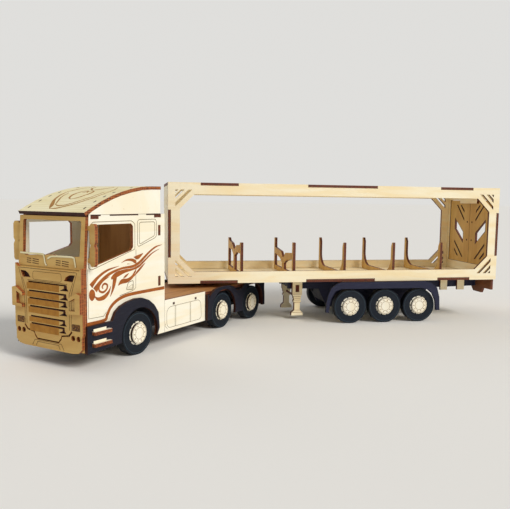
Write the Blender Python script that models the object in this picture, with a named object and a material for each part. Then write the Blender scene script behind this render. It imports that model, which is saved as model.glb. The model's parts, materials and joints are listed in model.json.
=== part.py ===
"""Model articulated lorry in laser-cut plywood, built in metres, Z up.

The trailer runs along X with its front at -X. The tractor is laid out straight, ahead of
the trailer, and is then turned about the kingpin to the angle at which it is shown.
"""
import math
import bpy
import bmesh
from mathutils import Matrix, Vector

# Stock
ply = 0.003
glue_gap = 0.0003
dowel_radius = 0.0025
dowel_clearance = 0.0003

# Wheels, all alike
wheel_radius = 0.020
rim_radius = 0.0112
cap_radius = 0.0096
cap_thickness = 0.0020
wheel_width = 0.009
rim_recess = 0.0006
rim_notch_count = 10
rim_notch_width = 0.0017
rim_notch_depth = 0.0012

# Tractor
rest_yaw = math.radians(48.4)
cab_half_width = 0.0406
cab_length = 0.1000
cab_height = 0.1145
cab_bottom = 0.0150
cab_rear_from_pin = 0.1467
front_axle_from_pin = 0.1850
drive_axle_from_pin = 0.0467
drive_axle_pitch = 0.0636
rear_fender_share = 0.89
tractor_tail = 0.0500
waist_height = 0.0838
windshield_rake = 0.0028
fascia_half_width = 0.0410
fascia_bottom = 0.0140
fascia_drop = 0.0008
arch_opening_radius = 0.0243
deck_underside = 0.0415
skirt_length = 0.0674
skirt_bottom = 0.0135
skirt_height = 0.0317
skirt_depth = 0.0120
step_reach = 0.0066
chassis_rail_inner = 0.0110
roof_overhang = 0.0003

# Trailer
frame_length = 0.4020
frame_height = 0.1123
frame_bottom = 0.0500
trailer_half_width = 0.0590
kingpin_setback = 0.0604
rail_height = 0.0130
gusset_leg = 0.0420
first_axle_share = 0.531
axle_pitch = 0.0435
cradle_side_gap = 0.0065
cradle_height = 0.0417
prong_width = 0.0052
bottle_corner_radius = 0.0170
bottle_web = 0.0057
first_cradle = 0.0830
last_cradle_from_rear = 0.0710
chassis_rail_offset = 0.0215
chassis_low = 0.0140
board_underside = 0.0467
leg_half_width = 0.0072
leg_foot_height = 0.0049
leg_from_front = 0.1565
leg_thickness = 0.0060
sill_height = 0.0110
door_jamb = 0.0088
pivot_radius = 0.0007
pivot_clearance = 0.0002
bumper_height = 0.0220
lug_drop = 0.0138

# Outlines, as shares of the length and height of the piece they belong to.
# Cab side: share of cab_length ahead of the cab's rear, share of cab_height above its foot.
door_window_shares = [
    (0.931, 0.930), (0.467, 0.930), (0.441, 0.908), (0.441, 0.744), (0.465, 0.719), (0.936, 0.620),
]
roof_top_shares = [
    (1.019, 1.018), (0.937, 1.055), (0.829, 1.100), (0.701, 1.143), (0.592, 1.172),
    (0.463, 1.198), (0.328, 1.217), (0.193, 1.224), (0.058, 1.226),
]
arch_outline_shares = [
    (1.028, -0.006), (1.028, 0.196), (0.738, 0.199), (0.698, 0.262), (0.638, 0.297),
    (0.553, 0.321), (0.448, 0.335), (0.353, 0.330), (0.263, 0.302), (0.188, 0.253),
    (0.128, 0.183), (0.111, 0.052), (0.149, -0.010),
]
step_level_shares = [0.040, 0.128]
step_span_shares = (0.776, 0.973)
rear_wall_slot_shares = [(0.401, 0.478), (0.823, 0.905)]
rear_wall_inset_share = 0.063
ceiling_tab_shares = [(0.057, 0.150), (0.860, 0.945)]
# Fascia: share of its half width, share of its height.
fascia_half_shares = [
    (0.732, 0.000), (0.902, 0.014), (1.000, 0.065), (1.000, 0.197), (1.029, 0.246),
    (1.029, 0.638), (1.000, 0.696), (1.000, 1.043), (0.917, 1.000),
]
top_lamp_shares = [(0.512, 0.877), (0.761, 0.872), (0.827, 0.958), (0.671, 0.954), (0.571, 0.925)]
fog_lamp_shares = [(0.756, 0.191), (0.907, 0.191)]
fog_lamp_radius_share = 0.058
grille_slot_half_shares = [
    (0.585, 0.009), (0.585, -0.038), (0.630, -0.062), (0.395, -0.067), (0.517, -0.041), (0.517, -0.009),
]
grille_taper_share = 0.254
grille_level_shares = [0.296, 0.387, 0.514, 0.616, 0.709, 0.820]
bumper_cut_half_shares = [(0.707, 0.277), (0.620, 0.220), (0.415, 0.201), (0.390, 0.162), (0.322, 0.116)]
bumper_cut_width_share = 0.018
bumper_cut_flare_share = 0.04
corner_vane_shares = [
    (1.030, 0.500), (1.030, 0.735), (0.925, 0.752), (0.700, 0.680), (0.700, 0.638),
    (0.890, 0.690), (0.890, 0.535), (0.715, 0.530), (0.715, 0.488),
]
# Windshield: share of the cab's half width, share of the height above the waist.
windshield_opening_shares = [
    (-0.869, 0.915), (-0.887, 0.874), (-0.869, 0.254), (-0.172, 0.204), (-0.069, 0.249),
    (0.776, 0.204), (0.869, 0.254), (0.887, 0.874), (0.869, 0.915),
]
mirror_shares = [
    (1.010, 0.748), (1.010, 0.828), (1.086, 0.835), (1.116, 0.870), (1.214, 0.870),
    (1.254, 0.817), (1.256, 0.531), (1.221, 0.469), (1.256, 0.405), (1.250, 0.119),
    (1.214, 0.076), (1.116, 0.076), (1.086, 0.130), (1.010, 0.144), (1.010, 0.222),
    (1.067, 0.227), (1.079, 0.405), (1.110, 0.469), (1.079, 0.533), (1.071, 0.739),
]
mirror_sweep = math.radians(-8.0)
# Cradles: share of the half width, share of the height.
cap_rest_top_shares = [(1.000, 1.000), (0.890, 1.000), (0.800, 0.921), (0.340, 0.877), (0.030, 0.720)]
cap_rest_window_shares = [(0.100, 0.140), (0.890, 0.140), (0.890, 0.690), (0.380, 0.680), (0.100, 0.550)]
neck_rest_top_shares = [(1.000, 1.000), (0.895, 1.000), (0.890, 0.700), (0.220, 0.635), (0.030, 0.475)]
neck_rest_window_shares = [(0.110, 0.140), (0.890, 0.140), (0.890, 0.520), (0.340, 0.420), (0.110, 0.310)]
cradle_tab_shares = (0.45, 0.66)
# Doors: share of the leaf's width from the seam, share of its height.
door_panel_shares = [
    (0.300, 0.310), (0.755, 0.527), (0.755, 0.707), (0.300, 0.487),
]
door_slash_shares = [
    [(0.685, 0.925), (0.635, 0.925), (0.280, 0.703), (0.280, 0.672)],
    [(0.485, 0.919), (0.435, 0.919), (0.286, 0.835), (0.286, 0.804)],
    [(0.745, 0.338), (0.745, 0.307), (0.340, 0.080), (0.290, 0.080)],
    [(0.739, 0.203), (0.739, 0.172), (0.580, 0.087), (0.530, 0.087)],
]
door_peg_hole_shares = [(0.110, 0.365), (0.110, 0.655)]
# Trailer frame: spans of the deck tabs along the length, end tabs up the height.
deck_tab_shares = [(0.0896, 0.1940), (0.3955, 0.6045), (0.8060, 0.9104)]
end_tab_shares = (0.264, 0.729)
gusset_slash_shares = [(0.52, 0.62), (0.72, 0.82)]
gusset_triangle_share = 0.46
gusset_margin_share = 0.19
# Trailer fender: share of axle_pitch from the middle axle, share of the height up to the frame.
fender_shares = [
    (-1.628, 0.000), (-1.603, 0.290), (-1.566, 0.470), (-1.451, 0.695), (-1.292, 0.765),
    (1.074, 0.760), (1.228, 0.695), (1.361, 0.570), (1.455, 0.325), (1.490, 0.000),
    (1.598, 0.000), (1.579, 0.444), (1.503, 0.760), (1.324, 0.925), (1.152, 0.983),
    (-1.297, 0.983), (-1.416, 0.930), (-1.572, 0.795), (-1.655, 0.565), (-1.705, 0.280), (-1.715, 0.000),
]
# Trailer rails: share of frame_length, share of the height from the low edge to the frame.
trailer_rail_shares = [
    (0.363, 0.900), (0.363, 0.640), (0.460, 0.625), (0.488, 0.000), (0.791, 0.000),
    (0.821, 0.600), (0.988, 0.650), (0.988, 0.900),
]
lug_span_shares = [(0.861, 0.884), (0.919, 0.943)]
# Landing leg: share of its half width, share of its height.
leg_half_shares = [
    (1.000, 0.000), (0.944, 0.087), (0.472, 0.159), (0.472, 0.383), (0.639, 0.393),
    (0.639, 0.446), (0.542, 0.455), (0.542, 0.494), (0.639, 0.504), (0.639, 0.557),
    (0.833, 0.617), (0.833, 1.000),
]
leg_slot_shares = (0.319, 0.689, 0.901)

merge_distance = 0.000002
flat_angle = math.radians(0.05)

for old in list(bpy.data.objects):
    bpy.data.objects.remove(old, do_unlink=True)
truck = bpy.data.collections.new("plywood_truck")
bpy.context.scene.collection.children.link(truck)
tools = bpy.data.collections.new("cutters")
bpy.context.scene.collection.children.link(tools)
tools.hide_render = True


def material(name, colour, roughness):
    made = bpy.data.materials.new(name)
    made.use_nodes = True
    shader = made.node_tree.nodes["Principled BSDF"]
    shader.inputs["Base Color"].default_value = (*colour, 1.0)
    shader.inputs["Roughness"].default_value = roughness
    return made


birch = (0.78, 0.63, 0.40)
stained = (0.025, 0.027, 0.035)
tyre_black = (0.018, 0.024, 0.030)


def close_mesh(data):
    work = bmesh.new()
    work.from_mesh(data)
    bmesh.ops.remove_doubles(work, verts=work.verts[:], dist=merge_distance)
    bmesh.ops.recalc_face_normals(work, faces=work.faces[:])
    work.to_mesh(data)
    work.free()
    data.update()


def plain_faces(data):
    """Turn the fill's long thin triangles into whole flat faces, which cut cleanly."""
    work = bmesh.new()
    work.from_mesh(data)
    bmesh.ops.dissolve_limit(work, angle_limit=flat_angle, verts=work.verts[:], edges=work.edges[:],
                             use_dissolve_boundaries=False)
    work.to_mesh(data)
    work.free()


def facing(normal_axis, across, along_axis):
    """Turn a shape made flat in XY to face along an axis, and move it to its place."""
    a, b = across
    columns = {"X": ((0, 0, 1), (1, 0, 0), (0, 1, 0)), "Y": ((1, 0, 0), (0, 0, 1), (0, 1, 0)),
               "Z": ((1, 0, 0), (0, 1, 0), (0, 0, 1))}[normal_axis]
    place = {"X": (along_axis, a, b), "Y": (a, along_axis, b), "Z": (a, b, along_axis)}[normal_axis]
    return Matrix.Translation(place) @ Matrix(columns).to_4x4()


def sheet(name, loops, normal_axis, start, thickness=ply):
    """A flat piece cut from sheet: the first loop is its edge, the others are cut out of it.

    normal_axis X takes points as (y, z), Y as (x, z) and Z as (x, y); the piece fills
    start to start + thickness along that axis.
    """
    curve = bpy.data.curves.new(name, "CURVE")
    curve.dimensions = "2D"
    curve.fill_mode = "BOTH"
    curve.extrude = thickness / 2
    for loop in loops:
        spline = curve.splines.new("POLY")
        spline.points.add(len(loop) - 1)
        for point, (a, b) in zip(spline.points, loop):
            point.co = (a, b, 0.0, 1.0)
        spline.use_cyclic_u = True
    source = bpy.data.objects.new(name + "_outline", curve)
    bpy.context.scene.collection.objects.link(source)
    bpy.context.view_layer.update()
    evaluated = source.evaluated_get(bpy.context.evaluated_depsgraph_get())
    data = bpy.data.meshes.new_from_object(evaluated)
    bpy.data.objects.remove(source, do_unlink=True)
    data.transform(facing(normal_axis, (0.0, 0.0), start + thickness / 2))
    close_mesh(data)
    return bpy.data.objects.new(name, data)


def box(name, low, high):
    data = bpy.data.meshes.new(name)
    work = bmesh.new()
    bmesh.ops.create_cube(work, size=1.0)
    size = [h - l for l, h in zip(low, high)]
    centre = [(h + l) / 2 for l, h in zip(low, high)]
    bmesh.ops.scale(work, vec=size, verts=work.verts[:])
    bmesh.ops.translate(work, vec=centre, verts=work.verts[:])
    work.to_mesh(data)
    work.free()
    return bpy.data.objects.new(name, data)


def rod(name, radius, axis, centre, start, end, sides=24):
    """A round bar along an axis; centre holds the two coordinates across it, in axis order."""
    data = bpy.data.meshes.new(name)
    work = bmesh.new()
    half_step = Matrix.Rotation(math.pi / sides, 4, "Z")
    bmesh.ops.create_cone(work, cap_ends=True, segments=sides, radius1=radius, radius2=radius,
                          depth=end - start, matrix=half_step)
    work.to_mesh(data)
    work.free()
    data.transform(facing(axis, centre, (start + end) / 2))
    close_mesh(data)
    return bpy.data.objects.new(name, data)


def combine(target, operation, others):
    """Join or cut with solid meshes and keep the result as the target's own mesh."""
    plain_faces(target.data)
    for other in others:
        plain_faces(other.data)
        if other.name not in tools.objects:
            tools.objects.link(other)
        other.display_type = "WIRE"
        other.hide_render = True
    if target.name not in bpy.context.scene.collection.all_objects:
        bpy.context.scene.collection.objects.link(target)
    for other in others:
        step = target.modifiers.new(operation.lower(), "BOOLEAN")
        step.operation = operation
        step.solver = "EXACT"
        step.object = other
    bpy.context.view_layer.update()
    evaluated = target.evaluated_get(bpy.context.evaluated_depsgraph_get())
    data = bpy.data.meshes.new_from_object(evaluated)
    target.modifiers.clear()
    target.data = data
    close_mesh(target.data)
    for other in others:
        bpy.data.objects.remove(other, do_unlink=True)
    return target


def mirrored(points):
    """Close a half outline with its mirror image."""
    return list(points) + [(-a, b) for a, b in reversed(points)]


def placed(shares, origin, size):
    return [(origin[0] + a * size[0], origin[1] + b * size[1]) for a, b in shares]


def arc(centre, radius, first, last, steps):
    out = []
    for k in range(steps + 1):
        angle = math.radians(first + (last - first) * k / steps)
        out.append((centre[0] + radius * math.cos(angle), centre[1] + radius * math.sin(angle)))
    return out


def rect(a0, a1, b0, b1):
    return [(a0, b0), (a1, b0), (a1, b1), (a0, b1)]


def flipped(loops):
    """The same outlines with the forward distance turned into X, which points backward."""
    return [[(-a, b) for a, b in loop] for loop in loops]


def inset_curve(points, depth):
    """Points moved square to the curve, toward its lower side."""
    out = []
    for k, here in enumerate(points):
        before = points[max(k - 1, 0)]
        after = points[min(k + 1, len(points) - 1)]
        run = Vector((after[0] - before[0], after[1] - before[1])).normalized()
        side = Vector((run.y, -run.x))
        if side.y > 0:
            side = -side
        out.append((here[0] + side.x * depth, here[1] + side.y * depth))
    return out


# Empties that carry the two halves: the tractor's stands on the kingpin and holds the rest angle.
trailer_base = bpy.data.objects.new("trailer_base", None)
tractor_pivot = bpy.data.objects.new("tractor_pivot", None)
tractor_pivot.parent = trailer_base
tractor_pivot.rotation_euler.z = rest_yaw
for holder in (trailer_base, tractor_pivot):
    truck.objects.link(holder)

finished = []


def finish(obj, colour, roughness, holder=trailer_base, origin=(0.0, 0.0, 0.0)):
    """Link a piece to the empty that carries it, with its origin on the axis it turns about."""
    for group in list(obj.users_collection):
        group.objects.unlink(obj)
    truck.objects.link(obj)
    obj.data.transform(Matrix.Translation(-Vector(origin)))
    obj.location = origin
    obj.parent = holder
    obj.data.name = obj.name
    obj.data.materials.clear()
    obj.data.materials.append(material(obj.name, colour, roughness))
    finished.append(obj)
    return obj


# Wheels: two rims and a dowel glued together, with a loose-looking black tyre round each rim.
def rim_loop(centre):
    """The rim's edge with square notches; centre is (along, up)."""
    loop = []
    half = rim_notch_width / 2 / rim_radius
    low = rim_radius - rim_notch_depth
    for k in range(rim_notch_count):
        middle = 2 * math.pi * k / rim_notch_count
        nexts = 2 * math.pi * (k + 1) / rim_notch_count
        loop.append((low, middle - half))
        loop.append((low, middle + half))
        for share in (0.0, 0.5, 1.0):
            angle = middle + half + (nexts - middle - 2 * half) * share
            loop.append((rim_radius, angle))
    return [(centre[0] + r * math.cos(a), centre[1] + r * math.sin(a)) for r, a in loop]


def wheelset(label, x, outer, holder):
    """One axle: outer is the half width over the tyres."""
    centre = (x, wheel_radius)
    spin = rod(label + "_axle", dowel_radius, "Y", centre, -outer + wheel_width / 2,
               outer - wheel_width / 2, 16)
    parts = []
    for side in (-1, 1):
        face = outer - rim_recess
        low, high = sorted((side * face, side * (outer - wheel_width)))
        parts.append(sheet(label + "_rim", [rim_loop(centre)], "Y", low, high - low))
        low, high = sorted((side * (face - ply / 2), side * (outer + cap_thickness)))
        parts.append(rod(label + "_cap", cap_radius, "Y", centre, low, high))
    combine(spin, "UNION", parts)
    finish(spin, birch, 0.6, holder, (x, 0.0, wheel_radius))
    for side, word in ((-1, "left"), (1, "right")):
        low, high = sorted((side * outer, side * (outer - wheel_width)))
        outside = arc(centre, wheel_radius, 0, 360, 40)[:-1]
        inside = arc(centre, rim_radius + glue_gap, 0, 360, 24)[:-1]
        tyre = sheet(label + "_tyre_" + word, [outside, inside], "Y", low, high - low)
        finish(tyre, tyre_black, 0.75, holder, (x, 0.0, wheel_radius))


# Tractor, laid out straight: forward is -X, so points are made as (forward, up) and flipped.
cab_origin = (cab_rear_from_pin, cab_bottom)
cab_size = (cab_length, cab_height)
cab_front = cab_rear_from_pin + cab_length
cab_top = cab_bottom + cab_height
inner_half = cab_half_width - ply
wheel_centre = (front_axle_from_pin, wheel_radius)
arch_clear = arch_opening_radius + ply
fascia_height = waist_height - fascia_bottom - fascia_drop
door_opening_half = trailer_half_width - door_jamb
cradle_half_width = trailer_half_width - ply - cradle_side_gap
ceiling_low = cab_top - ply - glue_gap / 3
deck_top = deck_underside + ply
floor_low = deck_top + glue_gap + ply / 3
skirt_front = cab_rear_from_pin - glue_gap
skirt_rear = skirt_front - skirt_length
roof_line = placed(roof_top_shares, cab_origin, cab_size)
screen_height = cab_top - 0.5 * ply - waist_height

rear_angle = 180 - math.degrees(math.asin((skirt_bottom - wheel_radius) / arch_clear))
front_angle = math.degrees(math.asin((cab_bottom - wheel_radius) / arch_clear))
side_front_top = cab_front - glue_gap - windshield_rake * (cab_top - waist_height) / screen_height
side_outline = [(cab_rear_from_pin, cab_top), (cab_rear_from_pin, skirt_bottom)]
side_outline += arc(wheel_centre, arch_clear, rear_angle, front_angle, 18)
side_outline += [(cab_front - glue_gap, cab_bottom), (cab_front - glue_gap, waist_height)]
side_outline.append((side_front_top, cab_top))
for first, last in reversed(ceiling_tab_shares):
    a0 = cab_rear_from_pin + first * cab_length - glue_gap
    a1 = cab_rear_from_pin + last * cab_length + glue_gap
    level = ceiling_low - glue_gap
    side_outline += [(a1, cab_top), (a1, level), (a0, level), (a0, cab_top)]
rear_wall_low = cab_rear_from_pin + rear_wall_inset_share * cab_length
side_slots = []
for first, last in rear_wall_slot_shares:
    b0 = cab_bottom + first * cab_height - glue_gap
    b1 = cab_bottom + last * cab_height + glue_gap
    side_slots.append(rect(rear_wall_low - glue_gap, rear_wall_low + ply + glue_gap, b0, b1))
side_loops = [side_outline, placed(door_window_shares, cab_origin, cab_size)] + side_slots

arch_outline = placed(arch_outline_shares, cab_origin, cab_size)
foot_front = front_angle + 1.0
arch_inner = arc(wheel_centre, arch_opening_radius, 180 - foot_front, foot_front, 20)
step_u0, step_u1 = (cab_rear_from_pin + share * cab_length for share in step_span_shares)
arch_loops = [arch_outline + arch_inner]

for side, word in ((-1, "left"), (1, "right")):
    low, high = sorted((side * inner_half, side * cab_half_width))
    panel = sheet("cab_side_" + word, flipped(side_loops), "Y", low)
    treads = []
    holes = []
    for share in step_level_shares:
        level = cab_bottom + share * cab_height
        ends = sorted((side * (inner_half + ply / 2), side * (cab_half_width + step_reach)))
        treads.append(box("tread", (-step_u1, ends[0], level), (-step_u0, ends[1], level + ply)))
        holes.append(rect(step_u0 - glue_gap, step_u1 + glue_gap, level - glue_gap,
                          level + ply + glue_gap))
    combine(panel, "UNION", treads)
    finish(panel, birch, 0.6, tractor_pivot)
    low, high = sorted((side * (cab_half_width + glue_gap), side * (cab_half_width + glue_gap + ply)))
    trim = sheet("step_arch_panel_" + word, flipped(arch_loops + holes), "Y", low)
    finish(trim, stained, 0.7, tractor_pivot)

    low, high = sorted((side * inner_half, side * cab_half_width))
    ends = sorted((side * (cab_half_width - skirt_depth), side * cab_half_width))
    inner = side * (cab_half_width - skirt_depth)
    outer = side * cab_half_width
    wall = side * inner_half
    skirt_plan = [(-skirt_front, inner), (-skirt_front, outer), (-skirt_rear, outer),
                  (-skirt_rear, inner), (-skirt_rear - ply, inner), (-skirt_rear - ply, wall),
                  (-skirt_front + ply, wall), (-skirt_front + ply, inner)]
    skirt = sheet("side_skirt_" + word, [skirt_plan], "Z", skirt_bottom, deck_underside
                  - glue_gap - skirt_bottom)
    lip = box("lip", (-skirt_front, low, skirt_bottom + ply),
              (-skirt_rear, high, skirt_bottom + skirt_height))
    combine(skirt, "UNION", [lip])
    finish(skirt, birch, 0.6, tractor_pivot)

# Roof: side fillers under a bent sheet, with a filler across the back.
under = inset_curve(roof_line, ply + glue_gap)
filler_low = cab_top + glue_gap
filler_rear = rear_wall_low
filler_loop = [(filler_rear, filler_low)]
tip = None
for before, after in zip(under[:-1], under[1:]):
    if before[1] < filler_low <= after[1]:
        share = (filler_low - before[1]) / (after[1] - before[1])
        tip = (before[0] + share * (after[0] - before[0]), filler_low)
filler_loop.append((tip[0] - ply / 3, filler_low))
filler_loop += [point for point in under if point[1] > filler_low and point[0] > filler_rear + ply]
end_low = under[-1][1]
filler_loop.append((filler_rear, end_low))
filler = sheet("roof_fillers", flipped([filler_loop]), "Y", inner_half)
fillers = [sheet("second_filler", flipped([filler_loop]), "Y", -cab_half_width),
           box("roof_back", (-filler_rear - 1.5 * ply, -inner_half - ply / 2, filler_low + ply / 5),
               (-filler_rear - ply / 2, inner_half + ply / 2, end_low - ply / 2))]
finish(combine(filler, "UNION", fillers), birch, 0.6, tractor_pivot)
roof_half = cab_half_width + roof_overhang
roof_loop = roof_line + list(reversed(inset_curve(roof_line, ply)))
roof = sheet("cab_roof", flipped([roof_loop]), "Y", -roof_half, 2 * roof_half)
finish(roof, birch, 0.6, tractor_pivot)
back_half = inner_half - glue_gap

# Ceiling, floor and rear wall, with tabs that show in the cab sides.
ceiling_front = side_front_top - glue_gap
ceiling_loop = [(cab_rear_from_pin, back_half), (cab_rear_from_pin, -back_half)]
for first, last in ceiling_tab_shares:
    a0 = cab_rear_from_pin + first * cab_length
    a1 = cab_rear_from_pin + last * cab_length
    ceiling_loop += [(a0, -back_half), (a0, -cab_half_width), (a1, -cab_half_width), (a1, -back_half)]
ceiling_loop += [(ceiling_front, -back_half), (ceiling_front, back_half)]
for first, last in reversed(ceiling_tab_shares):
    a0 = cab_rear_from_pin + first * cab_length
    a1 = cab_rear_from_pin + last * cab_length
    ceiling_loop += [(a1, back_half), (a1, cab_half_width), (a0, cab_half_width), (a0, back_half)]
finish(sheet("cab_ceiling", flipped([ceiling_loop]), "Z", ceiling_low), birch, 0.6, tractor_pivot)
finish(box("cab_floor", (-cab_front + 2 * glue_gap, -back_half, floor_low),
           (-cab_rear_from_pin, back_half, floor_low + ply)), birch, 0.6, tractor_pivot)
wall_low = floor_low + ply + glue_gap
wall_high = ceiling_low - glue_gap
wall_half = [(back_half, wall_low)]
for first, last in rear_wall_slot_shares:
    b0 = cab_bottom + first * cab_height
    b1 = cab_bottom + last * cab_height
    wall_half += [(back_half, b0), (cab_half_width, b0), (cab_half_width, b1), (back_half, b1)]
wall_half.append((back_half, wall_high))
finish(sheet("cab_rear_wall", [mirrored(wall_half)], "X", -rear_wall_low - ply), birch, 0.6, tractor_pivot)

# Front: a wall under the windshield, the raked windshield frame and the grille fascia.
grille_bay = rect(-fascia_half_width * 0.50, fascia_half_width * 0.50,
                  fascia_bottom + fascia_height * 0.24, fascia_bottom + fascia_height * 0.86)
front_outline = rect(-cab_half_width, cab_half_width, cab_bottom, waist_height)
finish(sheet("front_wall", [front_outline, grille_bay], "X", -cab_front - ply), birch, 0.6, tractor_pivot)
screen_low = waist_height + glue_gap
screen_size = (cab_half_width, screen_height)
screen_outline = rect(-cab_half_width, cab_half_width, screen_low, screen_low + screen_height - glue_gap)
screen = sheet("windshield_frame",
               [screen_outline, placed(windshield_opening_shares, (0.0, screen_low), screen_size)],
               "X", -cab_front - ply)
rake = Matrix.Identity(4)
rake[0][2] = windshield_rake / screen_height
rake[0][3] = -rake[0][2] * screen_low
screen.data.transform(rake)
finish(screen, birch, 0.6, tractor_pivot)

fascia_origin = (0.0, fascia_bottom)
fascia_size = (fascia_half_width, fascia_height)
fascia_back = cab_front + ply + glue_gap
fascia_loops = [mirrored(placed(fascia_half_shares, fascia_origin, fascia_size))]
for level in grille_level_shares:
    narrowing = 1.0 - grille_taper_share * (grille_level_shares[-1] - level)
    half = placed(grille_slot_half_shares, (0.0, fascia_bottom + level * fascia_height),
                  (narrowing * fascia_half_width, fascia_height))
    fascia_loops.append(mirrored(half))
lamp_loop = placed(top_lamp_shares, fascia_origin, fascia_size)
fascia_loops += [lamp_loop, [(-a, b) for a, b in lamp_loop]]
for centre in placed(fog_lamp_shares, fascia_origin, fascia_size):
    for side in (-1, 1):
        fascia_loops.append(arc((side * centre[0], centre[1]),
                                fog_lamp_radius_share * fascia_half_width, 0, 360, 12)[:-1])
cut = placed(bumper_cut_half_shares, fascia_origin, fascia_size)
kerf = bumper_cut_width_share * fascia_height
path = [(-a, b) for a, b in cut] + list(reversed(cut))
fascia_loops.append(path + [((1 + bumper_cut_flare_share) * a, b - kerf) for a, b in reversed(path)])
fascia = sheet("fascia", fascia_loops, "X", -fascia_back - ply)
vanes = []
for side, word in ((-1, "left"), (1, "right")):
    loop = [(side * a, b) for a, b in placed(corner_vane_shares, fascia_origin, fascia_size)]
    vanes.append(sheet("vane", [loop], "X", -fascia_back - 2 * ply, 1.5 * ply))
    loop = [(side * a, b) for a, b in placed(mirror_shares, (0.0, screen_low), screen_size)]
    mirror = sheet("mirror_" + word, [loop], "X", -ply / 2)
    hinge = side * cab_half_width
    sweep = Matrix.Translation((0, hinge, 0)) @ Matrix.Rotation(-side * mirror_sweep, 4, "Z")
    mirror.data.transform(Matrix.Translation((-cab_front + ply, 0, 0)) @ sweep
                          @ Matrix.Translation((0, -hinge, 0)))
    finish(mirror, birch, 0.6, tractor_pivot)

finish(combine(fascia, "UNION", vanes), birch, 0.6, tractor_pivot)

# Chassis rails with axle holes, deck plate, fifth wheel.
rear_end = -tractor_tail
axle_lines = [front_axle_from_pin, drive_axle_from_pin, drive_axle_from_pin - drive_axle_pitch]
rail_high = deck_underside - glue_gap
rail_low = wheel_radius - 2.4 * dowel_radius
rail_loop = rect(rear_end + ply, cab_front - ply, rail_low, rail_high)
rail_holes = [arc((u, wheel_radius), dowel_radius + dowel_clearance, 0, 360, 16)[:-1] for u in axle_lines]
chassis = sheet("tractor_chassis", flipped([rail_loop] + rail_holes), "Y", chassis_rail_inner)
second = sheet("second_rail", flipped([rail_loop] + rail_holes), "Y", -chassis_rail_inner - ply)
ties = [second]
tie_lines = [rear_end + 1.5 * ply, drive_axle_from_pin + drive_axle_pitch / 2, cab_rear_from_pin,
             cab_front - 2.5 * ply]
for u in tie_lines:
    ties.append(box("tie", (-u - ply, -chassis_rail_inner - ply / 2, rail_low + ply / 2),
                    (-u, chassis_rail_inner + ply / 2, rail_high - ply / 2)))
combine(chassis, "UNION", ties)
finish(chassis, stained, 0.7, tractor_pivot)

hitch_radius = 0.7 * drive_axle_pitch / 2
pin_hole = dowel_radius + dowel_clearance
deck_wide = cab_half_width - glue_gap
deck_slim = inner_half - glue_gap
step_back = skirt_rear - glue_gap
deck_edge = [(cab_rear_from_pin, deck_slim), (step_back, deck_slim), (step_back, deck_wide),
             (rear_end, deck_wide)]
deck_loop = deck_edge + [(a, -b) for a, b in reversed(deck_edge)]
pin_loop = arc((0.0, 0.0), pin_hole, 0, 360, 20)[:-1]
finish(sheet("tractor_deck", flipped([deck_loop, pin_loop]), "Z", deck_underside), birch, 0.6, tractor_pivot)
hitch_low = deck_top + glue_gap
hitch_loop = arc((0.0, 0.0), hitch_radius, 0, 360, 28)[:-1]
finish(sheet("fifth_wheel", [hitch_loop, pin_loop], "Z", hitch_low,
             frame_bottom - glue_gap - hitch_low), birch, 0.6, tractor_pivot)

# Drive-axle fenders: two arches in one plate, parted by a notch, with a flap turned in at each end.
drive_reach = drive_axle_pitch / 2
arch_height = deck_top + ply - wheel_radius
drive_centres = [(drive_axle_from_pin, wheel_radius), (drive_axle_from_pin - drive_axle_pitch, wheel_radius)]
notch_rise = 0.70 * arch_height
for side, word in ((-1, "left"), (1, "right")):
    top = []
    for centre in drive_centres:
        for k in range(15):
            angle = math.pi * k / 14
            reach = math.copysign(abs(math.cos(angle)) ** 0.7, math.cos(angle)) * drive_reach
            if reach < 0 and centre == drive_centres[1]:
                reach *= rear_fender_share
            rise = max(math.sin(angle), 0.0) ** 0.7 * arch_height
            inside = abs(centre[0] + reach - (drive_centres[0][0] - drive_reach)) < drive_reach
            if inside and rise < notch_rise:
                continue
            top.append((centre[0] + reach, centre[1] + rise))
    tail_end = drive_centres[1][0] - rear_fender_share * drive_reach
    tail = [(tail_end, skirt_bottom)]
    for centre in reversed(drive_centres):
        dip = math.degrees(math.asin((skirt_bottom - wheel_radius) / arch_opening_radius))
        tail += arc(centre, arch_opening_radius, 180 - dip, dip, 18)
    tail.append((drive_centres[0][0] + drive_reach, skirt_bottom))
    low, high = sorted((side * (cab_half_width + glue_gap), side * (cab_half_width + glue_gap + ply)))
    fender = sheet("drive_fender_" + word, flipped([top + tail]), "Y", low)
    low, high = sorted((side * (cab_half_width - wheel_width), side * (cab_half_width + ply)))
    flaps = []
    for u in (tail_end + ply / 5, drive_centres[0][0] + drive_reach - 1.2 * ply):
        flaps.append(box("flap", (-u - ply, low, skirt_bottom + ply / 5),
                         (-u, high, deck_underside - glue_gap)))
    finish(combine(fender, "UNION", flaps), stained, 0.7, tractor_pivot)

for label, u in zip(("front", "drive_1", "drive_2"), axle_lines):
    wheelset(label, -u, cab_half_width, tractor_pivot)

# Trailer: side frames that the deck, roof and end walls tab into.
front_x = -kingpin_setback
rear_x = front_x + frame_length
frame_top = frame_bottom + frame_height
inside_half = trailer_half_width - ply
fit_half = inside_half - glue_gap


def along(share):
    return front_x + share * frame_length


def upward(share):
    return frame_bottom + share * frame_height


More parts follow.
